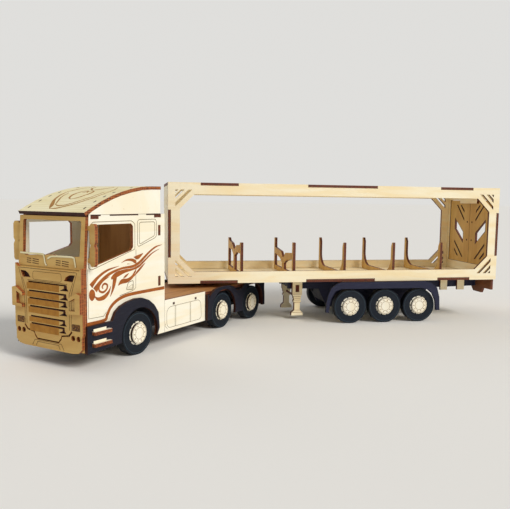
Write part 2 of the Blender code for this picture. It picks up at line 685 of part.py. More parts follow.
notch = ply + glue_gap
edge = [(front_x, frame_bottom)]
for first, last in deck_tab_shares:
    a0 = along(first) - glue_gap
    a1 = along(last) + glue_gap
    level = frame_bottom + notch
    edge += [(a0, frame_bottom), (a0, level), (a1, level), (a1, frame_bottom)]
edge.append((rear_x, frame_bottom))
e0, e1 = (upward(share) for share in end_tab_shares)
e0 -= glue_gap
e1 += glue_gap
edge += [(rear_x, e0), (rear_x - notch, e0), (rear_x - notch, e1), (rear_x, e1), (rear_x, frame_top)]
for first, last in reversed(deck_tab_shares):
    a0 = along(first) - glue_gap
    a1 = along(last) + glue_gap
    level = frame_top - notch
    edge += [(a1, frame_top), (a1, level), (a0, level), (a0, frame_top)]
edge += [(front_x, frame_top), (front_x, e1), (front_x + notch, e1), (front_x + notch, e0), (front_x, e0)]

short = gusset_leg - rail_height
opening = []
corner_turns = [(front_x, frame_bottom, 1, 1), (rear_x, frame_bottom, -1, 1), (rear_x, frame_top, -1, -1),
                (front_x, frame_top, 1, -1)]
for k, (cx, cz, sx, sz) in enumerate(corner_turns):
    pair = [(cx + sx * rail_height, cz + sz * short), (cx + sx * short, cz + sz * rail_height)]
    opening += pair if k % 2 == 0 else list(reversed(pair))
margin = gusset_margin_share * gusset_leg
slashes = []
for cx, cz, sx, sz in corner_turns:
    far = gusset_triangle_share * gusset_leg - margin
    corner_loops = [[(margin, margin), (far, margin), (margin, far)]]
    for first, last in gusset_slash_shares:
        f0 = first * gusset_leg - margin
        f1 = last * gusset_leg - margin
        corner_loops.append([(margin, f0), (f0, margin), (f1, margin), (margin, f1)])
    for loop in corner_loops:
        slashes.append([(cx + sx * a, cz + sz * b) for a, b in loop])
for side, word in ((-1, "left"), (1, "right")):
    low, high = sorted((side * inside_half, side * trailer_half_width))
    finish(sheet("side_frame_" + word, [edge, opening] + slashes, "Y", low), birch, 0.6)

panel_edge = [(front_x, -fit_half)]
for first, last in deck_tab_shares:
    a0, a1 = along(first), along(last)
    panel_edge += [(a0, -fit_half), (a0, -trailer_half_width), (a1, -trailer_half_width), (a1, -fit_half)]
panel_edge.append((rear_x, -fit_half))
panel_edge.append((rear_x, fit_half))
for first, last in reversed(deck_tab_shares):
    a0, a1 = along(first), along(last)
    panel_edge += [(a1, fit_half), (a1, trailer_half_width), (a0, trailer_half_width), (a0, fit_half)]
panel_edge.append((front_x, fit_half))
cradle_count = 5
cradle_pitch = (frame_length - first_cradle - last_cradle_from_rear) / (cradle_count - 1)
cradle_lines = [front_x + first_cradle + k * cradle_pitch for k in range(cradle_count)]
tab0, tab1 = (share * cradle_half_width for share in cradle_tab_shares)
deck_slots = []
for x in cradle_lines:
    for side in (-1, 1):
        b0, b1 = sorted((side * tab0, side * tab1))
        deck_slots.append(rect(x - glue_gap, x + ply + glue_gap, b0 - glue_gap, b1 + glue_gap))
finish(sheet("trailer_deck", [panel_edge, pin_loop] + deck_slots, "Z", frame_bottom), birch, 0.6)
finish(rod("kingpin", dowel_radius, "Z", (0.0, 0.0), deck_underside - ply, frame_bottom + ply, 20), birch,
       0.6)
finish(sheet("trailer_roof", [panel_edge], "Z", frame_top - ply), birch, 0.6)

end_low = frame_bottom + ply + glue_gap
end_high = frame_top - ply - glue_gap
t0, t1 = (upward(share) for share in end_tab_shares)
end_half = [(fit_half, end_low), (fit_half, t0), (trailer_half_width, t0), (trailer_half_width, t1),
            (fit_half, t1), (fit_half, end_high)]
finish(sheet("front_bulkhead", [mirrored(end_half)], "X", front_x), birch, 0.6)

sill_top = end_low + sill_height
header_low = frame_top - rail_height - 0.5 * ply
door_gap = 0.5 * pivot_radius + glue_gap / 2
pivot_x = rear_x - ply / 2
pivot_y = door_opening_half - ply / 2 - door_gap
rear_opening = rect(-door_opening_half, door_opening_half, sill_top, header_low)
rear_frame = sheet("rear_frame", [mirrored(end_half), rear_opening], "X", rear_x - ply)
bores = []
for side in (-1, 1):
    centre = (pivot_x, side * pivot_y)
    bores.append(rod("bore", pivot_radius + pivot_clearance, "Z", centre, sill_top - 1.5 * ply,
                     sill_top + ply, 16))
    bores.append(rod("bore", pivot_radius + pivot_clearance, "Z", centre, header_low - ply,
                     header_low + 1.5 * ply, 16))
combine(rear_frame, "DIFFERENCE", bores)
stop_half = 0.4 * door_opening_half
stops = [box("stop", (rear_x - 2 * ply - glue_gap, -stop_half, header_low - 1.5 * ply),
             (rear_x - ply - glue_gap, stop_half, header_low + 1.4 * ply)),
         box("stop_root", (rear_x - 1.5 * ply, -stop_half, header_low + ply / 3),
             (rear_x - ply / 2, stop_half, header_low + 1.4 * ply))]
combine(rear_frame, "UNION", stops)
finish(rear_frame, birch, 0.6)

leaf_low = sill_top + door_gap
leaf_high = header_low - door_gap
leaf_width = pivot_y - glue_gap
leaf_size = (leaf_width, leaf_high - leaf_low)
for side, word in ((-1, "left"), (1, "right")):
    outline = rect(glue_gap, pivot_y, leaf_low, leaf_high)
    loops = [outline, placed(door_panel_shares, (glue_gap, leaf_low), leaf_size)]
    for slash in door_slash_shares:
        loops.append(placed(slash, (glue_gap, leaf_low), leaf_size))
    for centre in placed(door_peg_hole_shares, (glue_gap, leaf_low), leaf_size):
        loops.append(arc(centre, ply / 4, 0, 360, 8)[:-1])
    leaf = sheet("rear_door_" + word, [[(side * a, b) for a, b in loop] for loop in loops], "X",
                 rear_x - ply)
    centre = (pivot_x, side * pivot_y)
    edge_round = rod("edge", ply / 2 - glue_gap / 10, "Z", centre, leaf_low, leaf_high, 24)
    peg = rod("peg", pivot_radius, "Z", centre, leaf_low - 0.8 * ply - door_gap,
              leaf_high + 0.8 * ply + door_gap, 16)
    combine(leaf, "UNION", [edge_round, peg])
    finish(leaf, birch, 0.6, trailer_base, (pivot_x, side * pivot_y, leaf_low))

# Cradles: rests for the cap and the neck, and three for the bottle's body, tabbed into the deck.
cradle_low = frame_bottom + ply + glue_gap
cradle_size = (cradle_half_width, cradle_height)
cradle_top = cradle_low + cradle_height
notch_half = cradle_half_width - prong_width
notch_low = cradle_low + bottle_web
corner = (notch_half - bottle_corner_radius, notch_low + bottle_corner_radius)
foot = [(tab0, cradle_low), (tab0, frame_bottom), (tab1, frame_bottom), (tab1, cradle_low),
        (cradle_half_width, cradle_low)]
bottle_rest = foot + [(cradle_half_width, cradle_top), (notch_half + prong_width / 2, cradle_top),
                      (notch_half, cradle_top - prong_width)]
bottle_rest += arc(corner, bottle_corner_radius, 0, -90, 8)
rest_tables = [(cap_rest_top_shares, cap_rest_window_shares),
               (neck_rest_top_shares, neck_rest_window_shares)]
for number, x in enumerate(cradle_lines):
    loops = [mirrored(bottle_rest)]
    if number < len(rest_tables):
        top, window = (placed(table, (0.0, cradle_low), cradle_size) for table in rest_tables[number])
        loops = [mirrored(foot + top), window, [(-a, b) for a, b in window]]
    finish(sheet("cradle_" + str(number + 1), loops, "X", x), birch, 0.6)

# Underframe: board with lugs, rails with axle holes, legs, fenders, bumper.
board_high = frame_bottom - glue_gap
board_slim = 1.25 * chassis_rail_offset
board_wide = trailer_half_width - glue_gap
board_fore = board_slim - ply / 5
board_edge = [(along(0.355), board_fore), (along(0.505), board_fore), (along(0.505), board_wide),
              (along(0.767), board_wide), (along(0.767), board_slim), (along(0.985), board_slim)]
board_loop = board_edge + [(a, -b) for a, b in reversed(board_edge)]
board = sheet("subframe_board", [board_loop], "Z", board_underside, board_high - board_underside)
lug_outer = board_slim - ply / 10
lugs = []
for first, last in lug_span_shares:
    for side in (-1, 1):
        low, high = sorted((side * lug_outer, side * (lug_outer - ply)))
        lugs.append(box("lug", (along(first), low, board_underside - lug_drop),
                        (along(last), high, board_high - ply / 3)))
finish(combine(board, "UNION", lugs), birch, 0.6)
run_size = (frame_length, frame_bottom - chassis_low)
rail_outline = [(a, min(b, board_underside - glue_gap)) for a, b in
                placed(trailer_rail_shares, (front_x, chassis_low), run_size)]
trailer_axles = [front_x + first_axle_share * frame_length + k * axle_pitch for k in range(3)]
rail_bores = [arc((x, wheel_radius), dowel_radius + dowel_clearance, 0, 360, 16)[:-1]
              for x in trailer_axles]
inner_face = chassis_rail_offset - ply / 2
running = sheet("trailer_chassis", [rail_outline] + rail_bores, "Y", -inner_face - ply,
                2 * (inner_face + ply))
tie_shares = (0.30, 0.375, 0.478, 0.583, 0.691, 0.80, 0.975, 1.05)
gaps = []
for first, last in zip(tie_shares[:-1], tie_shares[1:]):
    gaps.append(box("gap", (along(first) + ply / 2, -inner_face, chassis_low - ply),
                    (along(last) - ply / 2, inner_face, frame_bottom + ply)))
combine(running, "DIFFERENCE", gaps)
finish(running, stained, 0.7)
leg_centre = front_x + leg_from_front
leg_height = board_underside - glue_gap - leg_foot_height
leg_size = (leg_half_width, leg_height)
slot_half, slot_low, slot_high = leg_slot_shares
shaft_level = leg_foot_height + 0.53 * leg_height
legs = [rod("shaft", dowel_radius / 2, "Y", (leg_centre, shaft_level), -chassis_rail_offset - ply,
            chassis_rail_offset + ply, 16)]
for side, word in ((-1, "left"), (1, "right")):
    near = inner_face + ply + glue_gap
    low, high = sorted((side * near, side * (near + leg_thickness)))
    outline = mirrored(placed(leg_half_shares, (0.0, leg_foot_height), leg_size))
    slot = placed([(slot_half, slot_low), (slot_half, slot_high), (-slot_half, slot_high),
                   (-slot_half, slot_low)], (0.0, leg_foot_height), leg_size)
    loops = [[(leg_centre + a, b) for a, b in loop] for loop in (outline, slot)]
    legs.append(sheet("leg", loops, "Y", low, leg_thickness))
    fender = placed(fender_shares, (trailer_axles[1], chassis_low), (axle_pitch, run_size[1]))
    low, high = sorted((side * (trailer_half_width + glue_gap),
                        side * (trailer_half_width + glue_gap + ply)))
    finish(sheet("trailer_fender_" + word, [fender], "Y", low), stained, 0.7)
finish(combine(legs[0], "UNION", legs[1:]), birch, 0.6).name = "landing_legs"
bumper_half = [(0.30 * trailer_half_width, board_underside - 0.75 * bumper_height),
               (0.60 * trailer_half_width, board_underside - 0.75 * bumper_height),
               (0.66 * trailer_half_width, board_underside - 0.45 * bumper_height),
               (0.95 * trailer_half_width, board_underside - 0.45 * bumper_height),
               (0.95 * trailer_half_width, board_high),
               ]
bumper_mid = [(0.20 * trailer_half_width, board_underside - 0.45 * bumper_height)]
finish(sheet("rear_bumper", [mirrored(bumper_mid + bumper_half)], "X", along(0.9895)), birch, 0.6)

for number, x in enumerate(trailer_axles):
    wheelset("trailer_" + str(number + 1), x, trailer_half_width, trailer_base)

# Stand the truck with the middle of its footprint over the origin and the tyres on the floor.
bpy.context.view_layer.update()
corners = [obj.matrix_world @ v.co for obj in finished for v in obj.data.vertices]
low = Vector([min(c[k] for c in corners) for k in range(3)])
high = Vector([max(c[k] for c in corners) for k in range(3)])
shift = Vector((-(low.x + high.x) / 2, -(low.y + high.y) / 2, -low.z))
trailer_base.location = shift
bpy.context.view_layer.update()
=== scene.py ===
"""Looks of the plywood model lorry: laser-cut birch sheet, burnt edges, engraving and black paint.

Every drawn line and patch is a thin piece of its own that lies on the sheet it marks. The tractor's
pieces are laid out in its own directions, ahead and left_out, because it stands turned to one side.
"""
import json
import math
import bpy
import bmesh
from mathutils import Matrix, Vector

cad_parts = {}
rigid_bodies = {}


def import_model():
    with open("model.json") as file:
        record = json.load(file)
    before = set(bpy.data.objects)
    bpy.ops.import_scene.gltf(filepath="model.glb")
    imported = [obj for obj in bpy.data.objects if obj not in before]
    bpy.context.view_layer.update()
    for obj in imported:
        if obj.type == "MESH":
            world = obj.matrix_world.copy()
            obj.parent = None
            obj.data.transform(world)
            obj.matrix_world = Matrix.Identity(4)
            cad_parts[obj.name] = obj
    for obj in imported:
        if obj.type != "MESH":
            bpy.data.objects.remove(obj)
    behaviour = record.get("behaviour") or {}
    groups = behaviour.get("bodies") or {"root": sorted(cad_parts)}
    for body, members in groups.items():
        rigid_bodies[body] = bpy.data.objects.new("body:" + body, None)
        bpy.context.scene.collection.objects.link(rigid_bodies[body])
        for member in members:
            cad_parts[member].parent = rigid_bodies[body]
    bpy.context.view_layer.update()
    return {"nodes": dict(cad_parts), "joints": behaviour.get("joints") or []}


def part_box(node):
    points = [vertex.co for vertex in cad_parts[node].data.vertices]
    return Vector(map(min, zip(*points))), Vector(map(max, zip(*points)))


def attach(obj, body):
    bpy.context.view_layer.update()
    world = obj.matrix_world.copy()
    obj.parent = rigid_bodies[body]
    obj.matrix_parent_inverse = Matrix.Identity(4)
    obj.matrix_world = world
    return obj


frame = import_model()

MM = 0.001
X = Vector((1.0, 0.0, 0.0))
Y = Vector((0.0, 1.0, 0.0))
Z = Vector((0.0, 0.0, 1.0))
SHEET = 3.0 * MM
LIFT = 0.02 * MM        # a mark's back stands this far off its sheet
MARK = 0.10 * MM        # depth of an ordinary mark
RISE = 0.004 * MM       # each stroke is this much deeper than the last, so crossings don't flicker
SIDES = ((1, "left"), (-1, "right"))

joints = {joint["name"]: joint for joint in frame["joints"]}
pin = Vector(joints["articulation"]["pos_m"])
pin.z = 0.0
left_out = Vector(joints["front_wheels_spin"]["axis"]).normalized()
ahead = left_out.cross(Z)
nodes = frame["nodes"]


def span(node, direction, start=pin):
    """Lowest and highest reach of a CAD node along a direction, measured from a point."""
    reach = [(v.co - start).dot(direction) for v in nodes[node].data.vertices]
    return min(reach), max(reach)


cab_half = span("side_skirt_left", left_out)[1]
fascia_face = span("fascia", ahead)[1] - SHEET
board_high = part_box("subframe_board")[1].z
board_low = board_high - SHEET


# Colour and nodes

EDGE_BELOW = 0.7        # a spot that faces its sheet's way less squarely than this is a cut edge
ONE_BAND = 0.314        # the wave scale at which one band fills one unit


def linear(code):
    """An sRGB hex colour as the linear RGBA that a shader reads."""
    out = []
    for k in (1, 3, 5):
        value = int(code[k:k + 2], 16) / 255
        out.append(value / 12.92 if value <= 0.04045 else ((value + 0.055) / 1.055) ** 2.4)
    return (*out, 1.0)


def feed(tree, node, inputs):
    """Set a node's inputs, each to a value or to the socket that feeds it."""
    for key, value in inputs.items():
        if isinstance(value, bpy.types.NodeSocket):
            tree.links.new(value, node.inputs[key])
        else:
            node.inputs[key].default_value = value


def add(tree, kind, settings=None, inputs=None):
    """Add a node with its settings and its inputs."""
    made = tree.nodes.new(kind)
    for key, value in (settings or {}).items():
        setattr(made, key, value)
    feed(tree, made, inputs or {})
    return made


def maths(tree, operation, *values):
    """The result of a math node."""
    node = add(tree, "ShaderNodeMath", {"operation": operation}, dict(enumerate(values)))
    return node.outputs[0]


def reach_along(tree, place, direction):
    """How far a place, or a normal, reaches along a direction."""
    node = add(tree, "ShaderNodeVectorMath", {"operation": "DOT_PRODUCT"},
               {0: place, 1: direction})
    return node.outputs["Value"]


def mixed(tree, share, first, second):
    """Two colours, with this share of the second."""
    node = add(tree, "ShaderNodeMix", {"data_type": "RGBA"}, {0: share, 6: first, 7: second})
    return node.outputs[2]


def soft_step(tree, value, low, high, top=1.0):
    """A share that eases from 0 to its top while a value runs from low to high."""
    node = add(tree, "ShaderNodeMapRange", {"interpolation_type": "SMOOTHSTEP"},
               {"Value": value, "From Min": low, "From Max": high, "To Max": top})
    return node.outputs["Result"]


def spread(tree, value, low, high):
    """A value from 0 to 1, spread evenly between two others."""
    node = add(tree, "ShaderNodeMapRange", None, {"Value": value, "To Min": low, "To Max": high})
    return node.outputs["Result"]


def relief(tree, height, strength, depth):
    """The normal of a surface with fibre or beam rows too fine to model."""
    node = add(tree, "ShaderNodeBump", None,
               {"Height": height, "Strength": strength, "Distance": depth})
    return node.outputs["Normal"]


def new_material(name):
    """A new material with its node tree and its shader."""
    made = bpy.data.materials.new(name)
    made.use_nodes = True
    return made, made.node_tree, made.node_tree.nodes["Principled BSDF"]


def sheet_places(tree, grain, face):
    """Place on the sheet in metres: along the grain, across it and through the thickness."""
    place = add(tree, "ShaderNodeTexCoord").outputs["Object"]
    across = Vector(face).cross(Vector(grain)).normalized()
    return [reach_along(tree, place, axis) for axis in (grain, across, face)]


def stretched(tree, places, sizes):
    """A coordinate that counts real sizes along each of the three sheet directions."""
    counts = [maths(tree, "DIVIDE", place, size) for place, size in zip(places, sizes)]
    return add(tree, "ShaderNodeCombineXYZ", inputs=dict(zip("XYZ", counts))).outputs["Vector"]


def leaning(tree, face):
    """How squarely a spot faces along a direction, from 0 on a cut edge to 1 on the sheet."""
    looks = add(tree, "ShaderNodeTexCoord").outputs["Normal"]
    return maths(tree, "ABSOLUTE", reach_along(tree, looks, face))


def grains(tree, places, sizes, **looks):
    """Noise whose grains have these real sizes along the three sheet directions."""
    inputs = {"Vector": stretched(tree, places, sizes), "Scale": 1.0, **looks}
    return add(tree, "ShaderNodeTexNoise", None, inputs).outputs["Fac"]


def waves(tree, places, sizes, direction, distortion, scale=ONE_BAND):
    """Soft bands, counted along one of the three sheet directions."""
    node = add(tree, "ShaderNodeTexWave", {"wave_type": "BANDS", "bands_direction": direction},
               {"Vector": stretched(tree, places, sizes), "Scale": scale,
                "Distortion": distortion})
    return node.outputs["Fac"]


def birch_face(tree, places, tones):
    """Rotary-cut birch: long soft figure, fine fibre and short brown flecks along the grain.

    The fibre is really about a quarter of a millimetre wide; it is drawn twice as wide to show.
    """
    figure = grains(tree, places, (70 * MM, 11 * MM, 40 * MM),
                    Detail=3.0, Roughness=0.55, Distortion=0.6)
    fibre = grains(tree, places, (9 * MM, 0.55 * MM, 3 * MM), Detail=4.0, Roughness=0.6)
    fleck = grains(tree, places, (3.2 * MM, 0.5 * MM, 3 * MM), Detail=1.0)
    light, warm, brown = (linear(tone) for tone in tones)
    colour = mixed(tree, soft_step(tree, figure, 0.34, 0.70), light, warm)
    colour = mixed(tree, soft_step(tree, fibre, 0.50, 0.78, 0.40), colour, warm)
    colour = mixed(tree, soft_step(tree, fleck, 0.72, 0.80, 0.45), colour, brown)
    return colour, fibre


def burnt_edge(tree, places, tones):
    """A laser-cut edge: char in fine upright streaks, with the three plies as faint bands."""
    streak = grains(tree, places, (1.1 * MM, 1.1 * MM, 30 * MM), Detail=3.0)
    plies = waves(tree, places, (200 * MM, 200 * MM, 2.0 * MM), "Z", 0.4, 0.32)
    dark, middle, light = (linear(tone) for tone in tones)
    colour = mixed(tree, soft_step(tree, streak, 0.36, 0.66), dark, middle)
    return mixed(tree, soft_step(tree, plies, 0.45, 0.95, 0.45), colour, light)


# Tones of a birch face: its light wood, its warm figure and its brown flecks
CREAM = ("#FDF9E9", "#FAF0D4", "#DDBD86")           # cab, skirts and hubs: the palest
PEACH = ("#FEF3D4", "#FBE6B8", "#CFA46C")           # trailer: pale and a little warmer
HONEY_PAINTED_SHADE = ("#D8B268", "#CA9E54", "#90622C")           # cab front, cradles and rear doors: gold, painted shade darkening the pale sheet on these shaded parts
STRAW = ("#F4EBC2", "#EADCA4", "#B99A5C")           # bent roof and wipers: pale yellow
TAN_PAINTED_SHADE = ("#B98550", "#9C6A3A", "#6E4422")             # tractor's bed and cab's rear wall: brown, painted shade darkening the pale sheet there
UMBER_PAINTED_SHADE = ("#7C4A24", "#66391A", "#48260F")           # rear bumper: dark brown, painted shade darkening the pale sheet there
# Tones of a burnt edge: its darkest char, its middle and its palest ply
CHAR = ("#3A140A", "#64290F", "#9A5630")
# The wheels' cut edges: char, darkened further with painted shade in the step round each hub cap.
HUB_CHAR_AND_SHADE = ("#170C09", "#2C150C", "#53301C")
BRIGHT_CHAR = ("#5C2408", "#A0521E", "#CC864C")
# Tones of black paint: its body, the haze where the fibre is dry, and a cut edge
FENDER_BLACK = ("#151624", "#202231", "#3A1A10")
RAIL_BLACK = ("#151624", "#202231", "#12131C")
TRAILER_BLACK = ("#21233A", "#2E3148", "#15141F")
TYRE_BLACK = ("#0B141F", "#141F2A", "#0A0F16")
TRAILER_TYRE_BLACK = ("#0D1622", "#16212D", "#0A0F16")
# A paler grey for the line round each tyre: the cut edge's grey with a painted highlight on its
# bevel.
TYRE_EDGE_GREY_AND_HIGHLIGHT = ("#33444F", "#44555F", "#33444F")


def birch_plywood(name, face, grain, tones=CREAM, edge_tones=CHAR, kerf=0.0, fold=None):
    """Bare laser-cut birch ply, dry and matt: pale on its faces and charred where it was cut.

    face is the sheet's normal, and kerf is the pitch of a bent sheet's cuts. fold is for a node
    with a part that stands across its sheet: a direction, its middle, how far out the part
    starts, and the way that the part faces.
    """
    made, tree, shader = new_material(name)
    places = sheet_places(tree, grain, face)
    surface, fibre = birch_face(tree, places, tones)
    squarely = leaning(tree, face)
    if fold:
        direction, middle, start, other_face = fold
        place = add(tree, "ShaderNodeTexCoord").outputs["Object"]
        off = maths(tree, "SUBTRACT", reach_along(tree, place, direction), middle)
        past = maths(tree, "GREATER_THAN", maths(tree, "ABSOLUTE", off), start)
        squarely = add(tree, "ShaderNodeMix", {"data_type": "FLOAT"},
                       {0: past, 2: squarely, 3: leaning(tree, other_face)}).outputs[0]
    if kerf:
        comb = waves(tree, places, (200 * MM, kerf, 200 * MM), "Y", 0.25)
        cuts = soft_step(tree, comb, 0.80, 0.99, 0.34)
        surface = mixed(tree, cuts, surface, linear(tones[2]))
    edge = maths(tree, "LESS_THAN", squarely, EDGE_BELOW)
    colour = mixed(tree, edge, surface, burnt_edge(tree, places, edge_tones))
    feed(tree, shader, {"Base Color": colour, "Roughness": spread(tree, fibre, 0.52, 0.68),
                        "Normal": relief(tree, fibre, 0.25, 0.06 * MM), "IOR": 1.48})
    return made


def black_paint(name, face, grain, tones):
    """Plywood brushed with thin matt black: the fibre shows through, and edges differ in tone."""
    made, tree, shader = new_material(name)
    places = sheet_places(tree, grain, face)
    fibre = grains(tree, places, (12 * MM, 0.7 * MM, 3 * MM), Detail=4.0, Roughness=0.6)
    cloud = grains(tree, places, (16 * MM, 9 * MM, 16 * MM), Detail=2.0)
    body, haze, cut = (linear(tone) for tone in tones)
    colour = mixed(tree, soft_step(tree, fibre, 0.40, 0.80), body, haze)
    edge = maths(tree, "LESS_THAN", leaning(tree, face), EDGE_BELOW)
    feed(tree, shader, {"Base Color": mixed(tree, edge, colour, cut),
                        "Roughness": spread(tree, cloud, 0.48, 0.66),
                        "Normal": relief(tree, fibre, 0.3, 0.08 * MM),
                        "IOR": 1.50, "Specular IOR Level": 0.25})
    return made


def burnt_mark(name, tones, face, along, pitch=0.5 * MM):
    """Laser engraving: the beam's rows, side by side, in toasted brown.

    The beam steps a tenth of a millimetre a row; the rows are drawn coarser to show.
    """
    made, tree, shader = new_material(name)
    places = sheet_places(tree, along, face)
    rows = waves(tree, places, (60 * MM, pitch, 60 * MM), "Y", 0.6)
    cloud = grains(tree, places, (7 * MM, 4 * MM, 7 * MM), Detail=3.0)
    dark, light = (linear(tone) for tone in tones)
    share = soft_step(tree, maths(tree, "MULTIPLY_ADD", rows, 0.35, cloud), 0.40, 0.95)
    feed(tree, shader, {"Base Color": mixed(tree, share, dark, light), "Roughness": 0.8,
                        "Normal": relief(tree, rows, 0.2, 0.05 * MM)})
    return made


# Folds: nodes with a part that stands across their sheet
TREAD_START = 0.8 * MM      # the treads start this far outside the cab's side
FILLER_GAP = 0.2 * MM       # the roof fillers' side sheets start this far inside the cab's side
LUG_START = 0.6 * SHEET     # the underframe board's lugs start this far from its middle
BROW_HALF = 38 * MM         # the fascia's level top runs this far out, to its corner horns
BROW_DROP = 0.25 * MM
tread_fold = (left_out, pin.dot(left_out), cab_half + TREAD_START, Z)
filler_fold = (left_out, pin.dot(left_out), cab_half - SHEET - FILLER_GAP, left_out)
lug_fold = (Z, (board_low + board_high) / 2, LUG_START, Y)
brow = max(v.co.z for v in nodes["fascia"].data.vertices
           if abs((v.co - pin).dot(left_out)) < BROW_HALF)
brow_fold = (Z, 0.0, brow - BROW_DROP, (ahead + Z).normalized())

# Finishes of the CAD nodes, by the way each sheet faces
ROOF_KERF = 3.2 * MM
finishes = {
    "long_side": birch_plywood("birch_ply_trailer_side", Y, X, PEACH),
    "trailer_flat": birch_plywood("birch_ply_trailer_deck", Z, X, PEACH),
    "underframe_board": birch_plywood("birch_ply_underframe_board", Z, X, PEACH, fold=lug_fold),
    "trailer_end": birch_plywood("birch_ply_trailer_end", X, Y, PEACH),
    # Cradles and rear doors take the honey tones: painted shade darkening their pale sheet.
    "cradle": birch_plywood("birch_ply_cradle", X, Z, HONEY_PAINTED_SHADE),
    "door": birch_plywood("birch_ply_rear_door", X, Z, HONEY_PAINTED_SHADE),
    "cab_side": birch_plywood("birch_ply_cab_side", left_out, ahead, CREAM, BRIGHT_CHAR,
                              fold=tread_fold),
    "skirt": birch_plywood("birch_ply_side_skirt", left_out, ahead, CREAM),
    "roof_end": birch_plywood("birch_ply_roof_filler", ahead, Z, CREAM, BRIGHT_CHAR,
                              fold=filler_fold),
    # The cab front and fascia take the honey tones: painted shade of a front that faces away from
    # the key light.
    "cab_front": birch_plywood("birch_ply_cab_front", ahead, left_out, HONEY_PAINTED_SHADE, BRIGHT_CHAR),
    "fascia": birch_plywood("birch_ply_grille_fascia", ahead, left_out, HONEY_PAINTED_SHADE, BRIGHT_CHAR,
                            fold=brow_fold),
    "cab_flat": birch_plywood("birch_ply_cab_flat", Z, ahead, CREAM),
    # The cab's rear wall takes the tan tones: painted shade of the inside of the cab.
    "cab_inside": birch_plywood("birch_ply_cab_wall", ahead, Z, TAN_PAINTED_SHADE),
    "roof_sheet": birch_plywood("birch_ply_bent_roof", Z, left_out, STRAW, BRIGHT_CHAR,
                                ROOF_KERF),
    # The tractor's bed takes the tan tones: painted shade under the trailer.
    "tractor_bed": birch_plywood("birch_ply_tractor_bed", Z, ahead, TAN_PAINTED_SHADE),
    "wiper": birch_plywood("birch_ply_wiper", ahead, left_out, STRAW),
    # Wheel edges: char with painted shade.
    "wheel_tractor": birch_plywood("birch_ply_tractor_wheel", left_out, Z, CREAM, HUB_CHAR_AND_SHADE),
    "wheel_trailer": birch_plywood("birch_ply_trailer_wheel", Y, Z, CREAM, HUB_CHAR_AND_SHADE),
    # The rear bumper takes the umber tones: painted shade darkening its pale sheet.
    "rear_bar": birch_plywood("smoked_birch_ply_rear_bumper", X, Y, UMBER_PAINTED_SHADE),
    "dowel": birch_plywood("birch_dowel", Z, X, HONEY_PAINTED_SHADE, HONEY_PAINTED_SHADE),
    "tractor_trim": black_paint("black_paint_tractor_fender", left_out, ahead, FENDER_BLACK),
    "tractor_rails": black_paint("black_paint_tractor_chassis", left_out, ahead, RAIL_BLACK),
    "trailer_trim": black_paint("black_paint_trailer_fender", Y, X, TRAILER_BLACK),
    "tractor_tyre": black_paint("black_paint_tractor_tyre", left_out, ahead, TYRE_BLACK),
    "trailer_tyre": black_paint("black_paint_trailer_tyre", Y, X, TRAILER_TYRE_BLACK),
}
finish_of = {
    "side_frame_left": "long_side", "side_frame_right": "long_side",
    "landing_legs": "long_side", "trailer_deck": "trailer_flat",
    "trailer_roof": "trailer_flat", "subframe_board": "underframe_board",
    "front_bulkhead": "trailer_end", "rear_frame": "trailer_end", "rear_bumper": "rear_bar",
    "rear_door_left": "door", "rear_door_right": "door", "cab_side_left": "cab_side",
    "cab_side_right": "cab_side", "roof_fillers": "roof_end", "side_skirt_left": "skirt",
    "side_skirt_right": "skirt", "tractor_chassis": "tractor_rails",
    "trailer_chassis": "trailer_trim",
    "cab_ceiling": "cab_flat", "cab_floor": "cab_flat", "tractor_deck": "tractor_bed",
    "fifth_wheel": "cab_flat", "cab_rear_wall": "cab_inside", "front_wall": "cab_front",
    "windshield_frame": "cab_front", "fascia": "fascia", "mirror_left": "cab_front",
    "mirror_right": "cab_front", "cab_roof": "roof_sheet", "kingpin": "dowel",
}
for name, piece in nodes.items():
    on_tractor = not name.startswith(("trailer_1", "trailer_2", "trailer_3"))
    if name.endswith("_axle"):
        key = "wheel_tractor" if on_tractor else "wheel_trailer"
    elif "_tyre_" in name:
        key = "tractor_tyre" if on_tractor else "trailer_tyre"
    elif name.startswith("cradle"):
        key = "cradle"
    elif name.startswith(("step_arch", "drive_fender")):
        key = "tractor_trim"
    elif name.startswith("trailer_fender"):
        key = "trailer_trim"
    else:
        key = finish_of[name]
    piece.data.materials.clear()
    piece.data.materials.append(finishes[key])

# Camera at the photograph's place: fitted to the trailer's corners and the wheels
IMAGE_WIDTH = 510
SENSOR = 36.0
FOCAL_PIXELS = 580.8
CAMERA_YAW = -0.1925
CAMERA_PITCH = -0.0926
CAMERA_ROLL = 0.0136
CAMERA_FROM_PIN = Vector((-88.2, -703.4, 143.3)) * MM

look = Vector((-math.sin(CAMERA_YAW) * math.cos(CAMERA_PITCH),
               math.cos(CAMERA_YAW) * math.cos(CAMERA_PITCH), math.sin(CAMERA_PITCH)))
level = Vector((math.cos(CAMERA_YAW), math.sin(CAMERA_YAW), 0.0))
head = level.cross(look)
right_hand = math.cos(CAMERA_ROLL) * level + math.sin(CAMERA_ROLL) * head
overhead = -math.sin(CAMERA_ROLL) * level + math.cos(CAMERA_ROLL) * head
lens = bpy.data.cameras.new("camera")
lens.sensor_width = SENSOR
lens.lens = SENSOR * FOCAL_PIXELS / IMAGE_WIDTH
camera = bpy.data.objects.new("camera", lens)
turned = Matrix((right_hand, overhead, -look)).transposed().to_4x4()
camera.matrix_world = Matrix.Translation(pin + CAMERA_FROM_PIN) @ turned
bpy.context.scene.collection.objects.link(camera)
bpy.context.scene.camera = camera


# Marks and small pieces

ABOVE_ROOF = 0.3        # in metres, clear of everything
JOIN = 0.0005 * MM      # corners nearer than this are one
CORNER_PART = 2.2       # a rounded corner takes up to the side's length over this
